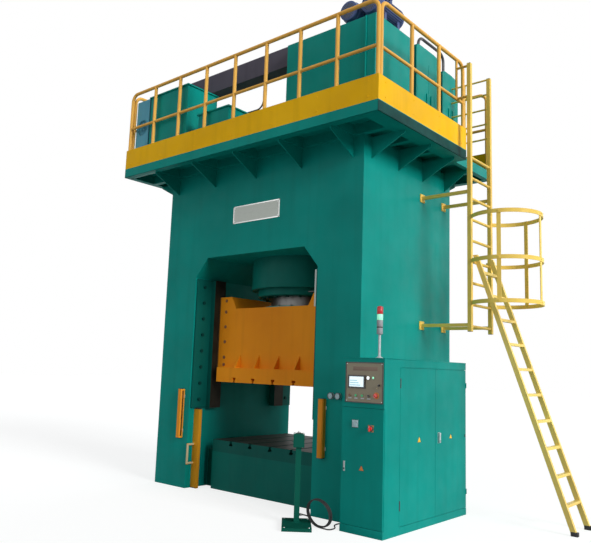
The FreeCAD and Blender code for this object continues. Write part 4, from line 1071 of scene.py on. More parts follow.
@dataclass
class Cable:
    """The pedestal's cable, coiled on edge beside its foot."""

    radius: float = 0.007
    coil_radius: float = 0.150
    coil_swell: float = 0.0025
    coil_left: float = 1.550
    coil_turns: float = 3.0
    coil_pitch: float = 0.018
    lean: float = math.radians(-12)
    front: float = -1.462
    per_turn: int = 14
    inlet: Point = (1.748, -1.150, 0.040)

    def coil_point(self, turns: float) -> Point:
        """Give a point of the coil's centre line.

        Args:
            turns: Turns from the coil's foot.

        Returns:
            The point.
        """
        angle = 2 * math.pi * turns
        reach = self.coil_radius + self.coil_swell
        loop = self.coil_radius + self.coil_swell * math.sin(2.1 * turns)
        rise = reach - loop * math.cos(angle)
        return (self.coil_left + loop * math.sin(angle),
                self.front - (2 * reach - rise) * math.sin(self.lean)
                - turns * self.coil_pitch,
                rise * math.cos(self.lean) + self.radius)

    def coil_way(self, turns: float) -> Vector:
        """Give the coil's direction at a number of turns."""
        ahead = Vector(self.coil_point(turns + 1e-4))
        return (ahead - Vector(self.coil_point(turns - 1e-4))).normalized()

    def fuller(self, turns: float, stretch: float) -> Vector:
        """Give a control point that keeps the spline on the coil's own radius.

        Args:
            turns: Turns from the coil's foot.
            stretch: How much further out a control point lies.

        Returns:
            The point, never lower than the cable lies on the floor.
        """
        point = Vector(self.coil_point(turns))
        across = point.x - self.coil_left
        return Vector((self.coil_left + across * stretch, point.y, max(point.z, self.radius)))

    def route(self) -> list[Vector]:
        """Lay the cable from the pedestal's gland round its coil to the cabinet.

        Returns:
            The spline's control points.
        """
        start, across = PEDESTAL.gland, PEDESTAL.across
        foot = Vector(self.coil_point(0))
        end = Vector(self.coil_point(self.coil_turns))
        inlet = Vector(self.inlet)
        floor = self.radius + 0.001
        away = end + self.coil_way(self.coil_turns) * 0.060
        steps = int(self.per_turn * self.coil_turns)
        stretch = 1 / math.cos(math.pi / self.per_turn)
        return [start, start + across * 0.090,
                start + across * 0.1475 + Vector((0, 0, floor + 0.005 - start.z)),
                foot - self.coil_way(0) * 0.045,
                *(self.fuller(step / self.per_turn, stretch) for step in range(steps + 1)),
                away, Vector((inlet.x - 0.058, away.y - 0.004, floor)),
                Vector((inlet.x - 0.058, end.y + 0.113, floor)),
                Vector((inlet.x - 0.158, inlet.y - 0.100, floor)),
                Vector((inlet.x - 0.158, inlet.y, floor + 0.004)),
                inlet - Vector((0.045, 0, 0)), inlet]

    def build(self) -> None:
        """Make the one smooth spline from the pedestal to the cabinet."""
        start = PEDESTAL.gland
        points = self.route()
        data = bpy.data.curves.new("pedestal_cable", "CURVE")
        data.dimensions = "3D"
        data.bevel_depth = self.radius
        data.bevel_resolution = 4
        data.resolution_u = 8
        data.use_fill_caps = True
        spline = data.splines.new("NURBS")
        spline.points.add(len(points) - 1)
        for target, point in zip(spline.points, points):
            target.co = (*point, 1)
        spline.order_u = 3
        spline.use_endpoint_u = True
        data.materials.append(Finishes.RUBBER.material())
        made = place("pedestal_cable", data)
        settle(made, "press")
        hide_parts("cable_lead", "cable_coil", "cable_tail")
        tuple(start)


# ------------------------------------------------------------------ the CAD nodes' finishes


NODE_FINISHES: dict[Finishes, tuple[str, ...]] = {
    Finishes.GREEN: (
        "press_frame", "deck_plate", "oil_tank", "reserve_tank", "valve_chest",
        "front_pump_cover", "rear_pump_cover", "cabinet_shell", "front_door",
        "front_side_door", "rear_side_door"),
    # The gibs' darker green is painted shade.
    Finishes.GIB_PAINTED_SHADE: ("front_left_gib", "front_right_gib", "rear_left_gib", "rear_right_gib"),
    # The bolster's darker green is painted shade.
    Finishes.BOLSTER_PAINTED_SHADE: ("bolster_plate",),
    # The edge beam's darkened outer sides are painted shade.
    Finishes.BEAM_PAINTED_SHADE: ("platform_frame",),
    # The bed, main cylinder and gland ring take the painted shade green.
    Finishes.PAINTED_SHADE_GREEN: ("press_bed", "main_cylinder", "gland_ring"),
    Finishes.ORANGE: ("press_slide",),
    Finishes.YELLOW: ("toe_board",),
    Finishes.PROP: ("safety_prop",),
    # The curtains' orange is partly painted shade.
    Finishes.CURTAIN: ("left_light_curtain", "right_light_curtain"),
    Finishes.RAIL: ("front_handrail", "left_handrail", "right_handrail", "rear_handrail"),
    Finishes.LADDER: ("access_ladder", "ladder_cage"),
    # The lower ladder takes the paler copy of the ladder paint as painted light.
    Finishes.LADDER_PAINTED_LIGHT: ("lower_ladder",),
    Finishes.POST: ("control_pedestal",),
    Finishes.BOLT: ("press_bolts",),
    Finishes.BLUE: ("oil_cooler",),
    Finishes.MOTOR: ("pump_motors",),
    Finishes.DUCT: ("overflow_duct",),
    Finishes.MACHINED: ("ejector_rod",),
    Finishes.DARK_STEEL: ("ejector_cylinder", "return_pipes"),
    Finishes.PLUNGER: ("plunger",),
    Finishes.BRONZE: ("guide_shoes",),
    Finishes.SCALE: ("position_scale",),
    Finishes.NAMEPLATE: ("nameplate",),
    Finishes.PANEL: ("control_panel",),
    Finishes.LIGHT_GREY: ("pressure_gauges",),
    Finishes.GREY: ("switchgear_plate", "signal_tower"),
    Finishes.BLACK: ("push_button_4", "selector_switch", "touch_screen"),
    Finishes.GREEN_CAP: ("push_button_2", "push_button_3"),
    Finishes.LENS: ("push_button_1",),
    Finishes.WHITE: ("pedestal_button",),
    Finishes.RED: ("emergency_stop", "main_switch"),
    Finishes.RUBBER: ("cable_lead", "cable_coil", "cable_tail"),
}


def dress_nodes(nodes: dict[str, bpy.types.Object]) -> None:
    """Give every CAD node its finish.

    Args:
        nodes: The frame's nodes.
    """
    named = {node: finish for finish, members in NODE_FINISHES.items() for node in members}
    for name, node in nodes.items():
        material = named[name].material()
        if not node.material_slots:
            node.data.materials.append(material)
        for slot in node.material_slots:
            slot.material = material


# ------------------------------------------------------------------ window and slide


@dataclass
class SlideDress:
    """Screws on the slide's ears, wipers at its shoes and screws in the plunger's clamp."""

    face: float = 0.675
    top: float = 2.650
    ear: float = 0.860
    ear_rows: tuple[tuple[float, float, int], ...] = (
        (1.690, 0.103, 2), (2.012, 0.2125, 3), (2.597, 0, 1))
    wiper_sides: tuple[float, float] = (0.955, 0.9995)
    wiper_ends: tuple[float, float] = (0.540, 0.674)
    wiper_low: float = 0.0005
    wiper_high: float = 0.0085
    clamp_radius: float = 0.5
    clamp_top: float = 2.510
    clamp_screws: int = 16

    def build(self) -> None:
        """Make the slide's fittings."""
        rows = [Row((side * self.ear, depth * self.face, height), (0, depth, 0), (0, 0, step),
                    number)
                for side, depth in CORNERS for height, step, number in self.ear_rows]
        stud_rows("slide_shoe_screws", rows, Stud(6, 0.015, 0.014, 0.024), Finishes.BROWNED,
                  "slide")
        wipers = Piece("slide_wipers")
        for side, depth in CORNERS:
            left, right = sorted(side * edge for edge in self.wiper_sides)
            near, far = sorted(depth * edge for edge in self.wiper_ends)
            wipers.slab((left, near, self.top + self.wiper_low),
                        (right, far, self.top + self.wiper_high), Finishes.RUBBER)
        wipers.done("machined_steel", "slide")
        circle = [Row((self.clamp_radius * across, self.clamp_radius * along, self.clamp_top),
                      UP) for across, along in around(self.clamp_screws)]
        stud_rows("plunger_clamp_screws", circle, Stud(6, 0.018, 0.016, 0.026),
                  Finishes.DARK_STEEL, "slide")


@dataclass
class FrameDress:
    """Nameplate frame, gauge faces, light-curtain lenses, prop cap, scale marks and welds."""

    face: float = -1.060
    gauge_depth: float = 0.042
    gauge_height: float = 1.373
    gauges_at: tuple[tuple[float, float], ...] = ((1.385, 215), (1.487, 160))
    prop_box: tuple[float, float, float, float] = (-1.110, -1.000, -0.960, -0.910)
    prop_top: float = 1.060
    handle: tuple[float, float] = (-1.085, -1.065)
    handle_ends: tuple[float, float] = (0.335, 0.585)
    upright_half: float = 1.110
    weld_depth: float = 0.655
    shoulder: float = 0.5

    def build(self) -> None:
        """Make the fittings on the frame."""
        self.nameplate()
        self.gauges()
        self.curtains()
        self.prop()
        self.scale()
        self.welds()

    @staticmethod
    def nameplate() -> None:
        """Frame the bare nameplate and pin its corners."""
        low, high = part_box("nameplate")
        piece = Piece("nameplate_frame")
        piece.frame(low, high, low.y, 0.003, 0.014, Finishes.ZINC)
        piece.done("plate_aluminium")
        inset = 0.03
        rows = [Row((low.x + inset, low.y, z), FRONT, (high.x - low.x - 2 * inset, 0, 0), 2)
                for z in (low.z + inset, high.z - inset)]
        stud_rows("nameplate_pins", rows, Stud(16, 0.007, 0.003), Finishes.ZINC)

    def ahead(self, x: float, lift: float = 0) -> Point:
        """Give a point on a gauge's axis, a little ahead of its dial's back."""
        return x, self.face - self.gauge_depth - lift, self.gauge_height

    def gauges(self) -> None:
        """Give both pressure gauges a bezel, dial, ticks and pointer."""
        ticks = []
        piece = Piece("gauge_faces")
        for x, lean in self.gauges_at:
            piece.lathe(self.ahead(x, -0.004), FRONT,
                        [(0.0375, 0), (0.039, 0.003), (0.039, 0.009), (0.036, 0.012),
                         (0.0335, 0.011), (0.0330, 0.006)], Finishes.DARK_STEEL, 40)
            piece.lathe(self.ahead(x), FRONT, [(0.0332, 0), (0.0332, 0.0025)],
                        Finishes.DIAL, 40)
            ticks += [Ring(self.ahead(x, 0.0028), FRONT, radius, count, bar, -45, 270)
                      for radius, count, bar in ((0.0275, 31, (0.004, 0.0008, 0.0006)),
                                                 (0.0262, 7, (0.007, 0.0014, 0.0007)))]
            turn = math.radians(lean)
            way = Vector((math.cos(turn), 0, math.sin(turn)))
            side = Vector((-way.z, 0, way.x)) * 0.0014
            base = Vector(self.ahead(x)) - Vector((0, 0.0036, 0))
            tail = base - way * 0.007
            piece.prism([tail - side, base + way * 0.026, tail + side], (0, -0.0008, 0),
                        Finishes.BLACK)
            piece.lathe(self.ahead(x, 0.003), FRONT, [(0.003, 0), (0.003, 0.0025), (0, 0.003)],
                        Finishes.ZINC, 16)
        piece.done("gauge_case")
        bar_rings("gauge_ticks", ticks, Finishes.BLACK)

    @staticmethod
    def curtains() -> None:
        """Give each light curtain its dark lens strip, end caps and brackets."""
        for name, side in (("left", -1), ("right", 1)):
            low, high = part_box(f"{name}_light_curtain")
            inner = high.x if side < 0 else low.x
            middle = (low.y + high.y) / 2
            piece = Piece(f"{name}_curtain_fittings")
            near, far = sorted((inner, inner + side * 0.0045))
            piece.slab((near, middle - 0.0125, low.z + 0.022),
                       (far, middle + 0.0125, high.z - 0.022), Finishes.LENS, 0.0005)
            for bottom, top in ((low.z - 0.006, low.z), (high.z, high.z + 0.006)):
                piece.slab((low.x + 0.002, low.y + 0.002, bottom),
                           (high.x - 0.002, high.y - 0.0005, top), Finishes.BLACK)
            for z in (low.z + 0.08, high.z - 0.12):
                piece.slab((low.x - 0.012, high.y - 0.005, z),
                           (high.x + 0.012, high.y, z + 0.04), Finishes.ZINC)
            piece.done("yellow_paint")
            rows = [Row((x, high.y - 0.005, low.z + 0.10), FRONT,
                        (0, 0, high.z - low.z - 0.20), 2)
                    for x in (low.x - 0.006, high.x + 0.006)]
            stud_rows(f"{name}_curtain_screws", rows, Stud(6, 0.004, 0.004), Finishes.ZINC)

    def prop(self) -> None:
        """Cap the safety prop in rubber at both ends and sleeve its handle."""
        left, right, front, back = self.prop_box
        ease = 0.010
        piece = Piece("prop_cap")
        piece.slab((left + ease, front + ease, self.prop_top),
                   (right - ease, back - ease, self.prop_top + 0.0165), Finishes.RUBBER, 0.004)
        piece.slab((left, front - 0.0005, 0.0), (right, back + 0.0005, 0.012),
                   Finishes.RUBBER, 0.003)
        piece.done("yellow_paint")
        grip = Piece("prop_handle_sleeve")
        x, y = self.handle
        low, high = self.handle_ends
        grip.tube([(x, y, low - 0.003), (x, y, high + 0.003)], 0.0155, Finishes.BEIGE)
        for z in self.handle_ends:
            grip.tube([(x, y, z), (x, front - 0.002, z)], 0.0150, Finishes.BEIGE)
            grip.lathe((x, front, z), FRONT, [(0.022, 0), (0.018, 0.004), (0.015, 0.008)],
                       Finishes.PROP, 20)
        grip.done("yellow_paint")

    @staticmethod
    def scale() -> None:
        """Divide the position scale with plain marks and give it a pointer."""
        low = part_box("position_scale")[0]
        marks = Row((low.x + 0.007, low.y, low.z + 0.01), FRONT, (0, 0, 0.01), 44)
        stud_rows("scale_marks", [marks], Stud(4, 0.002, 0.0006), Finishes.BLACK)
        piece = Piece("scale_pointer")
        arm = low.y + 0.006
        piece.prism([(low.x - 0.028, arm, 2.60), (low.x - 0.002, arm, 2.606),
                     (low.x - 0.028, arm, 2.612)], (0, 0.003, 0), Finishes.DARK_STEEL)
        for start, end in (((0.935, -0.681, 2.592), (0.975, -0.675, 2.620)),
                           ((0.952, arm, 2.601), (0.958, -0.676, 2.611)),
                           ((0.952, arm, 2.601), (low.x - 0.024, arm + 0.006, 2.611))):
            piece.slab(start, end, Finishes.DARK_STEEL)
        piece.done("machined_steel", "slide")

    def welds(self) -> None:
        """Run the weld beads along the uprights' feet and the bed's shoulders."""
        piece = Piece("frame_welds")
        half, depth, shoulder = self.upright_half, self.weld_depth, self.shoulder
        for side, way in CORNERS:
            piece.tube([(side * half, way * depth, 0.01), (side * half, way * depth, shoulder)],
                       0.007, Finishes.GREEN, 8)
        for x in (-half, half):
            piece.tube([(x, -depth, shoulder), (x, depth, shoulder)], 0.006, Finishes.GREEN, 8)
        piece.done("green_paint", sharp=60)


# ------------------------------------------------------------------ platform and ladders


@dataclass
class PlatformDress:
    """Rail feet, toe-board bolts, beam flanges and the ladders' fittings."""

    deck: float = 4.573
    rail_side: float = 2.2577
    rail_end: float = 1.5407
    rail_bend: float = 0.054
    right_rail_back: float = 0.470
    rear_rail_right: float = 2.100
    edge_side: float = 2.290
    edge_end: float = 1.573
    stiles: tuple[float, ...] = (0.290, 0.870)
    wall_levels: tuple[float, ...] = (2.270, 3.950)
    wall_face: float = 1.760
    plate_thickness: float = 0.010
    plate_half: float = 0.055
    bolt_half: float = 0.042
    lower_stiles: tuple[float, ...] = (0.355, 0.805)
    cage_centre: tuple[float, float] = (2.780, 0.580)
    cage_reach: float = 0.4405
    cage_straps: tuple[float, ...] = (-78, 0, 78)
    cage_hoops: tuple[float, ...] = (2.515, 3.035, 3.595)
    hoop_middle: float = 0.025

    def build(self) -> None:
        """Make the platform's and ladders' fittings."""
        collars = Piece("rail_feet")
        for x, y in self.posts():
            collars.lathe((x, y, self.deck), UP,
                          [(0.0315, 0), (0.0315, 0.006), (0.026, 0.010), (0.0245, 0.018)],
                          Finishes.RAIL, 20)
        collars.done("rail_paint")
        side, end = self.edge_side, self.edge_end
        rows = []
        for z in (self.deck + 0.06, self.deck + 0.23):
            rows += [Row((-2.15, -end, z), FRONT, (0.7167, 0, 0), 7),
                     Row((-2.15, end, z), BACK, (0.7167, 0, 0), 6),
                     Row((-side, -1.43, z), LEFT, (0, 0.715, 0), 5),
                     Row((side, -1.43, z), RIGHT, (0, 0.6, 0), 4)]
        stud_rows("toe_board_bolts", rows, Stud(12, 0.009, 0.004), Finishes.YELLOW)
        self.beam_flanges()
        self.ladder()
        self.cage()

    def posts(self) -> list[tuple[float, float]]:
        """Find the foot of every rail post.

        Returns:
            The left-right and front-back place of each.
        """
        side, end, bend = self.rail_side, self.rail_end, self.rail_bend
        start = -end + bend
        right_run = self.right_rail_back + end - bend
        rear_run = side + self.rear_rail_right
        return [*((-side + 2 * side * step / 8, -end) for step in range(9)),
                *((-side, start + (2 * end - 2 * bend) * step / 5) for step in range(6)),
                *((side, start + right_run * step / 3) for step in range(4)),
                *((-side + rear_run * step / 7, end) for step in range(8))]

    def beam_flanges(self) -> None:
        """Show the edge beams' lower flange."""
        piece = Piece("beam_flanges")
        side, end = self.edge_side, self.edge_end
        low, high, wide = 4.440, 4.448, 0.105
        for left, front, right, back in ((-side, -end, side, -end + wide),
                                         (-side, end - wide, 2.140, end),
                                         (-side, -end, -side + wide, end),
                                         (side - wide, -end, side, 0.500)):
            piece.slab((left, front, low), (right, back, high), Finishes.GREEN)
        piece.done("green_paint")

    def ladder(self) -> None:
        """Add the ladder's wall plates and end caps, and the lower ladder's feet."""
        piece = Piece("ladder_wall_plates")
        face = self.wall_face + self.plate_thickness
        half, bolt = self.plate_half, self.bolt_half
        rows = []
        for y in self.stiles:
            for z in self.wall_levels:
                piece.slab((self.wall_face, y - half, z - half), (face, y + half, z + half),
                           Finishes.LADDER, 0.002)
                rows += [Row((face, y - bolt, level), RIGHT, (0, 2 * bolt, 0), 2)
                         for level in (z - bolt, z + bolt)]
            for low, high in ((5.650, 5.655), (2.185, 2.190)):
                piece.slab((2.416, y - 0.024, low), (2.464, y + 0.024, high), Finishes.BLACK)
        piece.done("rail_paint")
        stud_rows("ladder_wall_bolts", rows, Stud(6, 0.009, 0.007, 0.013), Finishes.LADDER)
        feet = Piece("lower_ladder_feet")
        for y in self.lower_stiles:
            feet.slab((3.559, y - 0.027, 0.0), (3.636, y + 0.027, 0.045), Finishes.RUBBER,
                      0.006)
        feet.done("rail_paint")

    def cage(self) -> None:
        """Bolt the cage's straps to its hoops."""
        x, y = self.cage_centre
        studs = []
        for degrees in self.cage_straps:
            turn = math.radians(degrees)
            across, along = math.cos(turn), math.sin(turn)
            studs += [Row((x + self.cage_reach * across, y + self.cage_reach * along,
                           level + self.hoop_middle), (across, along, 0))
                      for level in self.cage_hoops]
        stud_rows("cage_bolts", studs, Stud(6, 0.008, 0.006, 0.011), Finishes.LADDER)


# ------------------------------------------------------------------ hydraulics


@dataclass
class HydraulicsDress:
    """Motor fins and cowls, tank covers, the cooler's fan, cover seams and pipe flanges."""

    tank_top: float = 5.940
    motors_at: tuple[float, ...] = (1.395, 1.725)
    motor_axis: float = 0.240
    cooler_fan: Point = (-2.060, -1.450, 5.215)
    cooler_front: float = -1.4815
    fan_blades: int = 7
    pipe_ends: tuple[Point, ...] = ((1.740, 0.194, 5.953), (1.740, 0.900, 5.843))
    drain_ends: tuple[Point, ...] = ((-0.700, -0.860, 5.715), (-0.120, -0.860, 5.715))
    louvres: int = 10
    lid_height: float = 0.012
    hatch_face: float = -0.222
    hatch: tuple[float, float, float, float] = (0.90, 4.80, 1.42, 5.30)

    def build(self) -> None:
        """Make the fittings of tanks, motors, covers and pipes."""
        self.motors()
        self.tanks()
        self.cooler()
        self.covers()
        self.pipes()

    def motors(self) -> None:
        """Fin both motors and give them cowls, slots, boxes and cable glands."""
        rings = []
        slots = []
        piece = Piece("motor_fittings")
        z = self.tank_top + self.motor_axis
        for x in self.motors_at:
            rings.append(Ring((x, -0.600, z), BACK, 0.136, 36, (0.016, 0.006, 0.420)))
            slots.append(Ring((x, -0.9515, z), FRONT, 0.075, 24, (0.055, 0.008, 0.004)))
            piece.lathe((x, -0.950, z), FRONT,
                        [(0.128, 0), (0.126, 0.001), (0.034, 0.0012), (0.03, 0.0025),
                         (0, 0.0025)], Finishes.MOTOR, 40)
            piece.lathe((x, -0.862, z), FRONT,
                        [(0.1385, 0), (0.1385, 0.02), (0.1285, 0.03), (0.1285, 0.084)],
                        Finishes.MOTOR, 40)
            piece.slab((x - 0.064, -0.704, z + 0.190), (x + 0.064, -0.536, z + 0.2065),
                       Finishes.MOTOR, 0.004)
            piece.lathe((x + 0.060, -0.62, z + 0.165), RIGHT,
                        [(0.016, 0), (0.016, 0.016), (0.011, 0.018), (0.011, 0.03)],
                        Finishes.BLACK, 16)
        piece.done("motor_paint")
        bar_rings("motor_fins", rings, Finishes.MOTOR)
        bar_rings("cowl_slots", slots, Finishes.BLACK)

    def tanks(self) -> None:
        """Close the tanks with bolted covers, and add a breather and a level glass."""
        piece = Piece("tank_covers")
        top, back = self.tank_top, self.hatch_face
        left, low, right, high = self.hatch
        piece.slab((0.56, -0.98, top), (1.02, -0.52, top + self.lid_height), Finishes.GREEN,
                   0.002)
        piece.lathe((0.70, -0.36, top), UP,
                    [(0.05, 0), (0.05, 0.02), (0.045, 0.022), (0.045, 0.07), (0.05, 0.072),
                     (0.05, 0.10), (0.04, 0.112), (0, 0.114)], Finishes.BLACK, 28)
        piece.slab((left, back - 0.0082, low), (right, back, high), Finishes.GREEN, 0.002)
        piece.slab((0.4775, -0.52, 4.85), (0.4855, -0.47, 5.30), Finishes.ZINC)
        piece.slab((0.474, -0.507, 4.88), (0.4785, -0.483, 5.27), Finishes.BLACK)
        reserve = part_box("reserve_tank")[1].z
        piece.slab((-1.70, -1.38, reserve), (-1.22, -1.02, reserve + self.lid_height),
                   Finishes.GREEN, 0.002)
        piece.done("green_paint")
        rows = [Row((x, y, top + self.lid_height), UP, step, count)
                for x, y, step, count in ((0.58, -0.96, (0.105, 0, 0), 5),
                                          (0.58, -0.54, (0.105, 0, 0), 5),
                                          (0.58, -0.855, (0, 0.105, 0), 3),
                                          (1.00, -0.855, (0, 0.105, 0), 3))]
        inset = 0.02
        rows += [Row((left + inset, back, z), BACK, (0.12, 0, 0), 5)
                 for z in (low + inset, high - inset)]
        rows += [Row((x, back, low + 0.135), BACK, (0, 0, 0.115), 3)
                 for x in (left + inset, right - inset)]
        stud_rows("tank_bolts", rows, Stud(6, 0.010, 0.008, 0.015), Finishes.ZINC)

    def cooler(self) -> None:
        """Give the oil cooler a wire guard and a fan."""
        x, y, z = self.cooler_fan
        guard = (x, self.cooler_front, z)
        fan = [Ring(guard, FRONT, radius, 24, (0.0025, 2 * math.pi * radius / 23, 0.0025))
               for radius in (0.03, 0.05, 0.07, 0.09, 0.11)]
        fan.append(Ring(guard, FRONT, 0.062, 4, (0.116, 0.005, 0.003), 45))
        bar_rings("cooler_guard", fan, Finishes.BLUE)
        blades = Piece("cooler_fan")
        centre = Vector(self.cooler_fan)
        for across, rise in around(self.fan_blades):
            way = Vector((across, 0, rise))
            side = Vector((-rise, 0, across))
            blades.prism([centre + way * 0.025 - side * 0.012,
                          centre + way * 0.105 - side * 0.030 - Vector((0, 0.010, 0)),
                          centre + way * 0.108 + side * 0.020,
                          centre + way * 0.025 + side * 0.012],
                         (0, 0.002, 0), Finishes.BLUE)
        blades.lathe((x, y, z), FRONT, [(0.03, -0.001), (0.03, 0.014), (0.024, 0.019), (0, 0.02)],
                     Finishes.BLUE, 24)
        blades.done("blue_paint")

    def covers(self) -> None:
        """Give the pump covers their seams, handles, foot rims and rear louvres."""
        piece, louvres = Piece("cover_fittings"), Piece("cover_louvres")
        for name in ("front", "rear"):
            low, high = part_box(f"{name}_pump_cover")
            middle = (low.y + high.y) / 2
            piece.slab((high.x, middle - 0.003, low.z + 0.03),
                       (high.x + 0.0025, middle + 0.003, high.z - 0.20), Finishes.GREEN, 0.0005)
            for offset in (-0.06, 0.05):
                piece.slab((high.x, middle + offset, low.z + 0.62),
                           (high.x + 0.014, middle + offset + 0.012, low.z + 0.76),
                           Finishes.GREEN, 0.003)
            piece.slab((low.x - 0.002, low.y - 0.004, low.z),
                       (high.x + 0.004, high.y + 0.004, low.z + 0.035), Finishes.GREEN, 0.002)
            for step in range(self.louvres):
                y, z = middle - 0.14, low.z + 0.5 + 0.045 * step
                louvres.prism([(low.x, y, z), (low.x - 0.012, y, z - 0.022),
                               (low.x, y, z - 0.024)], (0, 0.28, 0), Finishes.GREEN)
        piece.done("green_paint")
        louvres.done("green_paint", sharp=20)

    def pipes(self) -> None:
        """Flange the pipes where they enter the covers and the duct."""
        piece = Piece("pipe_flanges")
        for end in self.pipe_ends:
            piece.lathe(end, UP, [(0.048, 0), (0.048, 0.014), (0.030, 0.018), (0.0225, 0.034)],
                        Finishes.DARK_STEEL, 28)
        for end in self.drain_ends:
            piece.lathe(end, DOWN,
                        [(0.027, 0), (0.027, 0.010), (0.017, 0.012), (0.0125, 0.030)],
                        Finishes.DARK_STEEL, 24)
        piece.done("dark_steel")
        rings = [Ring((x, y, z + 0.018), UP, 0.038, 4, (0.012, 0.012, 0.010))
                 for x, y, z in self.pipe_ends]
        bar_rings("flange_bolts", rings, Finishes.ZINC)


# ------------------------------------------------------------------ cabinet


@dataclass
class CabinetDress:
    """Everything small on the cabinet, its doors, its panel and its tower."""

    right: float = 2.294
    front: float = -1.375
    panel: float = -1.379
    button_left: float = 1.862
    button_step: float = 0.081
    button_height: float = 1.410
    stop: tuple[float, float] = (2.198, 1.417)
    selector: tuple[float, float] = (2.235, 1.5305)
    switch: tuple[float, float] = (2.134, 1.079)
    strip: tuple[float, float, float, float] = (1.90, 1.672, 2.21, 1.712)
    lamps: tuple[Point, ...] = ((2.098, 1.596, 0.0150), (2.162, 1.599, 0.0105))
    key: tuple[float, float] = (2.210, 1.494)
    meter: tuple[float, float] = (1.903, 1.0765)
    meter_size: float = 0.080
    meter_rim: float = 0.0035
    needle: tuple[float, float] = (0.040, 0.014)
    lock: tuple[float, float] = (1.812, 0.618)
    lock_height: float = 0.104
    sign_height: float = 0.937
    hinge_levels: tuple[float, ...] = (0.24, 1.50)
    roof: float = 1.800
    tower: tuple[float, float] = (2.160, -1.275)
    gear_rows: int = 4

    def build(self) -> None:
        """Make the cabinet's fittings."""
        self.panel_parts()
        self.screen()
        self.panel_screws()
        self.button_faces()
        self.knobs()
        self.front_door()
        self.side_doors()
        self.top_and_hinges()
        self.signal_tower()
        self.inside()

    def panel_parts(self) -> None:
        """Frame the panel, ring its stop and give it its label strip, lamps and key."""
        low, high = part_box("control_panel")
        face = self.panel
        piece = Piece("panel_fittings")
        piece.frame(low, high, face, 0.0045, 0.009, Finishes.DARK_STEEL)
        left, bottom, right, top = self.strip
        piece.slab((left, face - 0.0015, bottom), (right, face, top), Finishes.STRIP, 0.0005)
        for number in range(4):
            x = self.button_left + self.button_step * number
            piece.slab((x - 0.022, face - 0.0012, 1.3745), (x + 0.022, face, 1.3865),
                       Finishes.LIGHT_GREY, 0.0004)
        x, z = self.stop
        piece.lathe((x, face, z), FRONT,
                    [(0.0225, 0), (0.0345, 0), (0.0345, 0.0015), (0.0225, 0.002),
                     (0.0225, 0)], Finishes.AMBER, 36)
        for (x, z, radius), finish in zip(self.lamps, (Finishes.LAMP_WHITE,
                                                       Finishes.LAMP_GREEN)):
            piece.lathe((x, face - 0.0095, z), FRONT,
                        [(radius + 0.002, 0), (radius + 0.0022, 0.002), (radius, 0.003),
                         (radius * 0.8, 0.006), (radius * 0.4, 0.0078), (0, 0.0082)],
                        finish, 28)
        x, z = self.key
        piece.slab((x - 0.0035, face - 0.012, z - 0.005), (x + 0.0035, face - 0.0085,
                                                           z + 0.005), Finishes.BEIGE, 0.0008)
        piece.done("panel_plate")

    def panel_screws(self) -> None:
        """Screw the panel's four corners down."""
        low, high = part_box("control_panel")
        screws = [Row((low.x + 0.016, self.panel, z), FRONT, (high.x - low.x - 0.032, 0, 0), 2)
                  for z in (low.z + 0.018, high.z - 0.018)]
        stud_rows("panel_screws", screws, Stud(16, 0.0045, 0.0022), Finishes.ZINC)

    @staticmethod
    def screen() -> None:
        """Light the touch screen and lay three plain bars on it."""
        low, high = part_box("touch_screen")
        back = low.y + 0.0026
        piece = Piece("screen_face")
        piece.slab((low.x + 0.018, back - 0.0006, low.z + 0.016),
                   (high.x - 0.018, back + 0.0004, high.z - 0.016), Finishes.SCREEN, 0)
        for row in range(3):
            z = low.z + 0.028 + 0.024 * row
            piece.slab((low.x + 0.026, back - 0.0009, z),
                       (high.x - 0.060 - 0.02 * row, back - 0.0006, z + 0.010),
                       Finishes.SCREEN_BAR, 0)
        piece.done("white_plastic")

    def button_faces(self) -> None:
        """Crown each push button and the stop."""
        tops = (Finishes.LENS, Finishes.GREEN_CAP, Finishes.GREEN_CAP, Finishes.BLACK)
        for number, finish in enumerate(tops):
            x = self.button_left + self.button_step * number
            node = f"push_button_{number + 1}"
            piece = Piece(f"{node}_face")
            piece.lathe((x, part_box(node)[0].y + 0.002, self.button_height), FRONT,
                        [(0.0119, 0), (0.0119, 0.0014), (0.0108, 0.0026), (0.0085, 0.0024),
                         (0, 0.0020)], finish)
            piece.done("grey_plastic", node)
        x, z = self.stop
        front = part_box("emergency_stop")[0].y
        stop = Piece("stop_mushroom")
        stop.lathe((x, front + 0.012, z), FRONT,
                   [(0.0205, 0), (0.0213, 0.002), (0.0213, 0.007), (0.0196, 0.0115),
                    (0.0130, 0.0140), (0, 0.0148)], Finishes.RED, 40)
        stop.done("red_plastic", "emergency_stop")
        marks = Ring((x, front - 0.0022, z), FRONT, 0.0125, 3, (0.0012, 0.011, 0.0010))
        bar_rings("stop_arrows", [marks], Finishes.WHITE, "emergency_stop")

    def knobs(self) -> None:
        """Mark the selector with a line and give the main switch its grip."""
        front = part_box("selector_switch")[0].y
        x, z = self.selector
        line = Piece("selector_line")
        line.slab((x - 0.0007, front - 0.0004, z - 0.004), (x + 0.0007, front + 0.0010,
                                                            z + 0.004), Finishes.WHITE, 0)
        line.done("black_plastic", "selector_switch")
        x, z = self.switch
        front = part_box("main_switch")[0].y
        grip = Piece("main_switch_grip")
        grip.slab((x - 0.0065, front - 0.0006, z - 0.0265),
                  (x + 0.0065, front + 0.0140, z + 0.0265), Finishes.RED, 0.002)
        grip.slab((x - 0.0012, front - 0.0012, z + 0.008),
                  (x + 0.0012, front - 0.0004, z + 0.023), Finishes.WHITE, 0)
        grip.done("red_plastic", "main_switch")

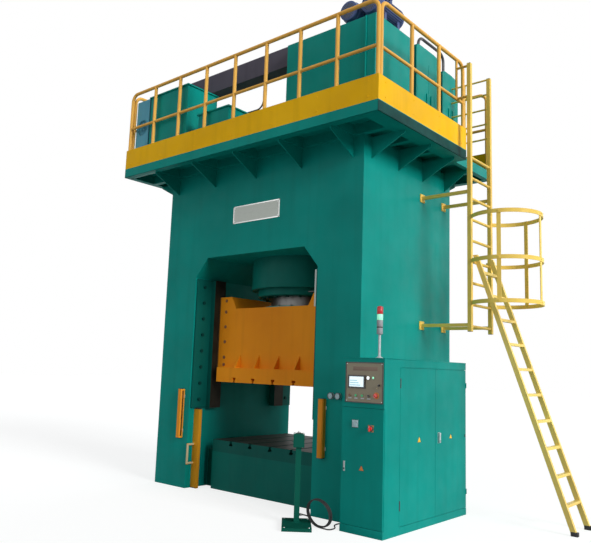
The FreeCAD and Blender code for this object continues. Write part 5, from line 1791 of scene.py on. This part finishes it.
    def front_door(self) -> None:
        """Give the front door its meter, switch plate, lock and plain sign."""
        face = self.front
        glass = face - 0.0150
        piece = Piece("front_door_fittings")
        x, z = self.meter
        size, rim = self.meter_size, self.meter_rim
        piece.slab((x, face - 0.0125, z), (x + size, face - 0.0085, z + size), Finishes.BLACK)
        piece.slab((x + rim, face - 0.0145, z + rim),
                   (x + size - rim, face - 0.0120, z + size - rim), Finishes.DIAL, 0.0005)
        pivot_x, pivot_z = x + self.needle[0], z + self.needle[1]
        piece.prism([(pivot_x, glass, pivot_z), (pivot_x + 0.0015, glass, pivot_z),
                     (pivot_x + 0.019, glass, pivot_z + 0.0425)], (0, -0.0008, 0),
                    Finishes.BLACK)
        x, z = self.switch
        piece.slab((x - 0.034, face - 0.0015, z - 0.034), (x + 0.034, face, z + 0.034),
                   Finishes.AMBER)
        piece.lathe((x, face - 0.0015, z), FRONT,
                    [(0.0325, 0), (0.0325, 0.0055), (0.0305, 0.0066), (0, 0.0066)],
                    Finishes.BLACK, 36)
        x, z = self.lock
        piece.slab((x - 0.0115, face - 0.0145, z),
                   (x + 0.0115, face - 0.0115, z + self.lock_height), Finishes.LIGHT_GREY, 0.002)
        piece.lathe((x, face - 0.0145, z + 0.027), FRONT,
                    [(0.009, 0), (0.009, 0.004), (0.0075, 0.005), (0, 0.005)],
                    Finishes.BLACK, 20)
        self.sign(piece, (2.025, face - 0.0003, 0.6625), RIGHT, FRONT, 0.034, Finishes.AMBER)
        piece.done("green_paint", "front_door")
        ticks = Ring((pivot_x, glass, pivot_z), FRONT, 0.046, 11, (0.006, 0.0010, 0.0008), 40,
                     100)
        bar_rings("meter_ticks", [ticks], Finishes.BLACK, "front_door")

    @staticmethod
    def sign(piece: Piece, centre: Point, across: Point, out: Point, size: float,
             fill: Finishes = Finishes.YELLOW_CAP) -> None:
        """Add a plain triangle with a dark rim.

        Args:
            piece: The piece to add to.
            centre: The middle of its back.
            across: The way of its base.
            out: The way it faces.
            size: Half the length of its base.
            fill: The finish inside its rim.
        """
        up, middle, way = Vector(UP), Vector(centre), Vector(across)
        for scale, lift, finish in ((1.0, 0.0008, Finishes.BLACK), (0.84, 0.0011, fill)):
            low = middle - up * size * 0.62 * scale
            corners = [low - way * size * scale, low + way * size * scale,
                       middle + up * size * 1.08 * scale]
            piece.prism(corners, Vector(out) * lift, finish)

    def side_doors(self) -> None:
        """Give the rear side door its handle, and both side doors a plain sign."""
        face = self.right
        rear = Piece("rear_side_door_fittings")
        rear.slab((face, -0.246, 0.880), (face + 0.004, -0.204, 1.000), Finishes.LIGHT_GREY)
        rear.slab((face + 0.0155, -0.2385, 0.884), (face + 0.0205, -0.2075, 0.996),
                  Finishes.LIGHT_GREY, 0.002)
        rear.lathe((face + 0.0205, -0.223, 0.905), RIGHT,
                   [(0.006, 0), (0.006, 0.001), (0, 0.0012)], Finishes.BLACK, 20)
        self.sign(rear, (face + 0.0002, 0.064, self.sign_height), BACK, RIGHT, 0.034)
        rear.slab((face, 0.420, 0.915), (face + 0.006, 0.438, 0.945), Finishes.BLACK)
        rear.done("green_paint", "rear_side_door")
        near = Piece("front_side_door_fittings")
        self.sign(near, (face + 0.0002, -0.665, self.sign_height), BACK, RIGHT, 0.038)
        near.done("green_paint", "front_side_door")

    def top_and_hinges(self) -> None:
        """Hang the side doors on barrels, edge the cabinet's top and skirt its plinth."""
        face, roof = self.right, self.roof
        piece = Piece("cabinet_hinges")
        for z in self.hinge_levels:
            piece.lathe((face, -1.0600, z), UP,
                        [(0.007, 0), (0.007, 0.10), (0.004, 0.103), (0, 0.103)],
                        Finishes.DARK_STEEL, 16)
            piece.lathe((face + 0.004, 0.4585, z), UP,
                        [(0.005, 0), (0.005, 0.06), (0.003, 0.062), (0, 0.062)],
                        Finishes.GREEN, 16)
        piece.slab((1.756, -1.357, roof), (face + 0.003, -1.052, roof + 0.006),
                   Finishes.GREEN, 0.002)
        piece.slab((1.760, -1.378, roof), (face + 0.003, 0.462, roof + 0.008),
                   Finishes.GREEN, 0.002)
        piece.slab((1.766, -1.376, 0.0), (face + 0.0015, -1.3745, 0.078), Finishes.GREEN,
                   0.0005)
        piece.done("green_paint")

    def signal_tower(self) -> None:
        """Build the signal tower's lenses on its pole."""
        x, y = self.tower
        piece = Piece("signal_lenses")
        low = self.roof + 0.260
        for start, end, finish in ((0.000, 0.066, Finishes.GREY),
                                   (0.068, 0.082, Finishes.BLACK),
                                   (0.084, 0.150, Finishes.GREY),
                                   (0.152, 0.214, Finishes.LAMP_GREEN),
                                   (0.216, 0.280, Finishes.LAMP_RED)):
            piece.lathe((x, y, low + start), UP,
                        [(0.0300, 0), (0.0322, 0.003), (0.0322, end - start - 0.003),
                         (0.0300, end - start)], finish, 36)
        piece.lathe((x, y, low + 0.280), UP,
                    [(0.0322, 0), (0.0322, 0.006), (0.028, 0.016), (0.016, 0.022),
                     (0, 0.024)], Finishes.LAMP_RED, 36)
        piece.lathe((x, y, self.roof), UP,
                    [(0.0385, 0), (0.0385, 0.014), (0.02, 0.022), (0.0135, 0.03),
                     (0.0128, 0.258), (0.02, 0.2605)], Finishes.LIGHT_GREY)
        piece.done("grey_plastic")

    def inside(self) -> None:
        """Give the rows of switchgear their fronts."""
        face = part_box("switchgear_plate")[1].x
        piece = Piece("switchgear_fronts")
        for row in range(self.gear_rows):
            z = 0.320 + 0.340 * row
            for number in range(6 - row % 2):
                y = -0.930 + 0.215 * number
                piece.slab((face - 0.0005, y + 0.012, z + 0.03),
                           (face + 0.005, y + 0.138, z + 0.14), Finishes.LIGHT_GREY, 0.002)
                piece.slab((face + 0.004, y + 0.060, z + 0.07),
                           (face + 0.0075, y + 0.090, z + 0.10), Finishes.BLACK)
        piece.done("grey_plastic")


# ------------------------------------------------------------------ pedestal


@dataclass
class PedestalDress:
    """The pedestal's button ring, front lid, gland nut, bolts and weld rings."""

    foot_top: float = 0.035
    post_top: float = 0.820
    lid_half: float = 0.052
    lid_low: float = 0.828
    lid_high: float = 0.957
    lid_depth: float = 0.0602
    lid_thickness: float = 0.0015
    nut_sunk: float = 0.010
    foot_bolts: Point = (0.130, 0.210, 0.070)
    top_screws: float = 0.048

    def build(self) -> None:
        """Make the pedestal's fittings."""
        spot, across, back = PEDESTAL.spot, PEDESTAL.across, PEDESTAL.back
        piece = Piece("pedestal_fittings")
        piece.lathe((spot.x, spot.y, PEDESTAL.top), UP,
                    [(0.0205, 0), (0.0205, 0.008), (0.0185, 0.0112), (0.0148, 0.0112),
                     (0.0148, 0.002)], Finishes.BLACK, 36)
        front = spot - back * self.lid_depth
        piece.prism([front + across * side * self.lid_half + Vector((0, 0, z))
                     for side, z in ((-1, self.lid_low), (1, self.lid_low),
                                     (1, self.lid_high), (-1, self.lid_high))],
                    back * -self.lid_thickness, Finishes.POST)
        piece.lathe(PEDESTAL.gland - across * self.nut_sunk, across,
                    [(0.0135, 0), (0.0135, 0.010), (0.0115, 0.014), (0.0095, 0.030),
                     (0.0082, 0.036)], Finishes.BLACK, 20)
        piece.done("green_paint")
        button = Piece("pedestal_button_face")
        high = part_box("pedestal_button")[1].z
        button.lathe((spot.x, spot.y, high - 0.003), UP,
                     [(0.0139, 0), (0.0139, 0.002), (0.0124, 0.0038), (0.0100, 0.0034),
                      (0, 0.0028)], Finishes.WHITE, 36)
        button.done("white_plastic", "pedestal_button")
        rows = []
        wide, deep, shift = self.foot_bolts
        for side, way in CORNERS:
            foot = spot + across * wide * side + back * (deep * way - shift)
            lid = spot + across * self.top_screws * side + back * self.top_screws * way
            rows += [Row((foot.x, foot.y, self.foot_top), UP),
                     Row((lid.x, lid.y, PEDESTAL.top), UP)]
        stud_rows("pedestal_bolts", rows, Stud(6, 0.007, 0.005, 0.011), Finishes.ZINC)
        welds = Piece("post_weld")
        for z, way in ((self.foot_top, UP), (self.post_top, DOWN)):
            welds.lathe((spot.x, spot.y, z), way, [(0.050, 0), (0.047, 0.004), (0.040, 0.006)],
                        Finishes.POST, 24)
        welds.done("green_paint")


def main() -> None:
    """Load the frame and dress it."""
    logging.basicConfig(level=logging.INFO, format="%(message)s")
    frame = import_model()
    cad_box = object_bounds()
    Studio().build()
    Cable().build()
    dress_nodes(frame["nodes"])
    for dress in (SlideDress(), FrameDress(), PlatformDress(), HydraulicsDress(),
                  CabinetDress(), PedestalDress()):
        dress.build()
    visual_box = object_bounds()
    [[list(corner) for corner in box] for box in (cad_box, visual_box)]


if __name__ == "__main__":
    main()
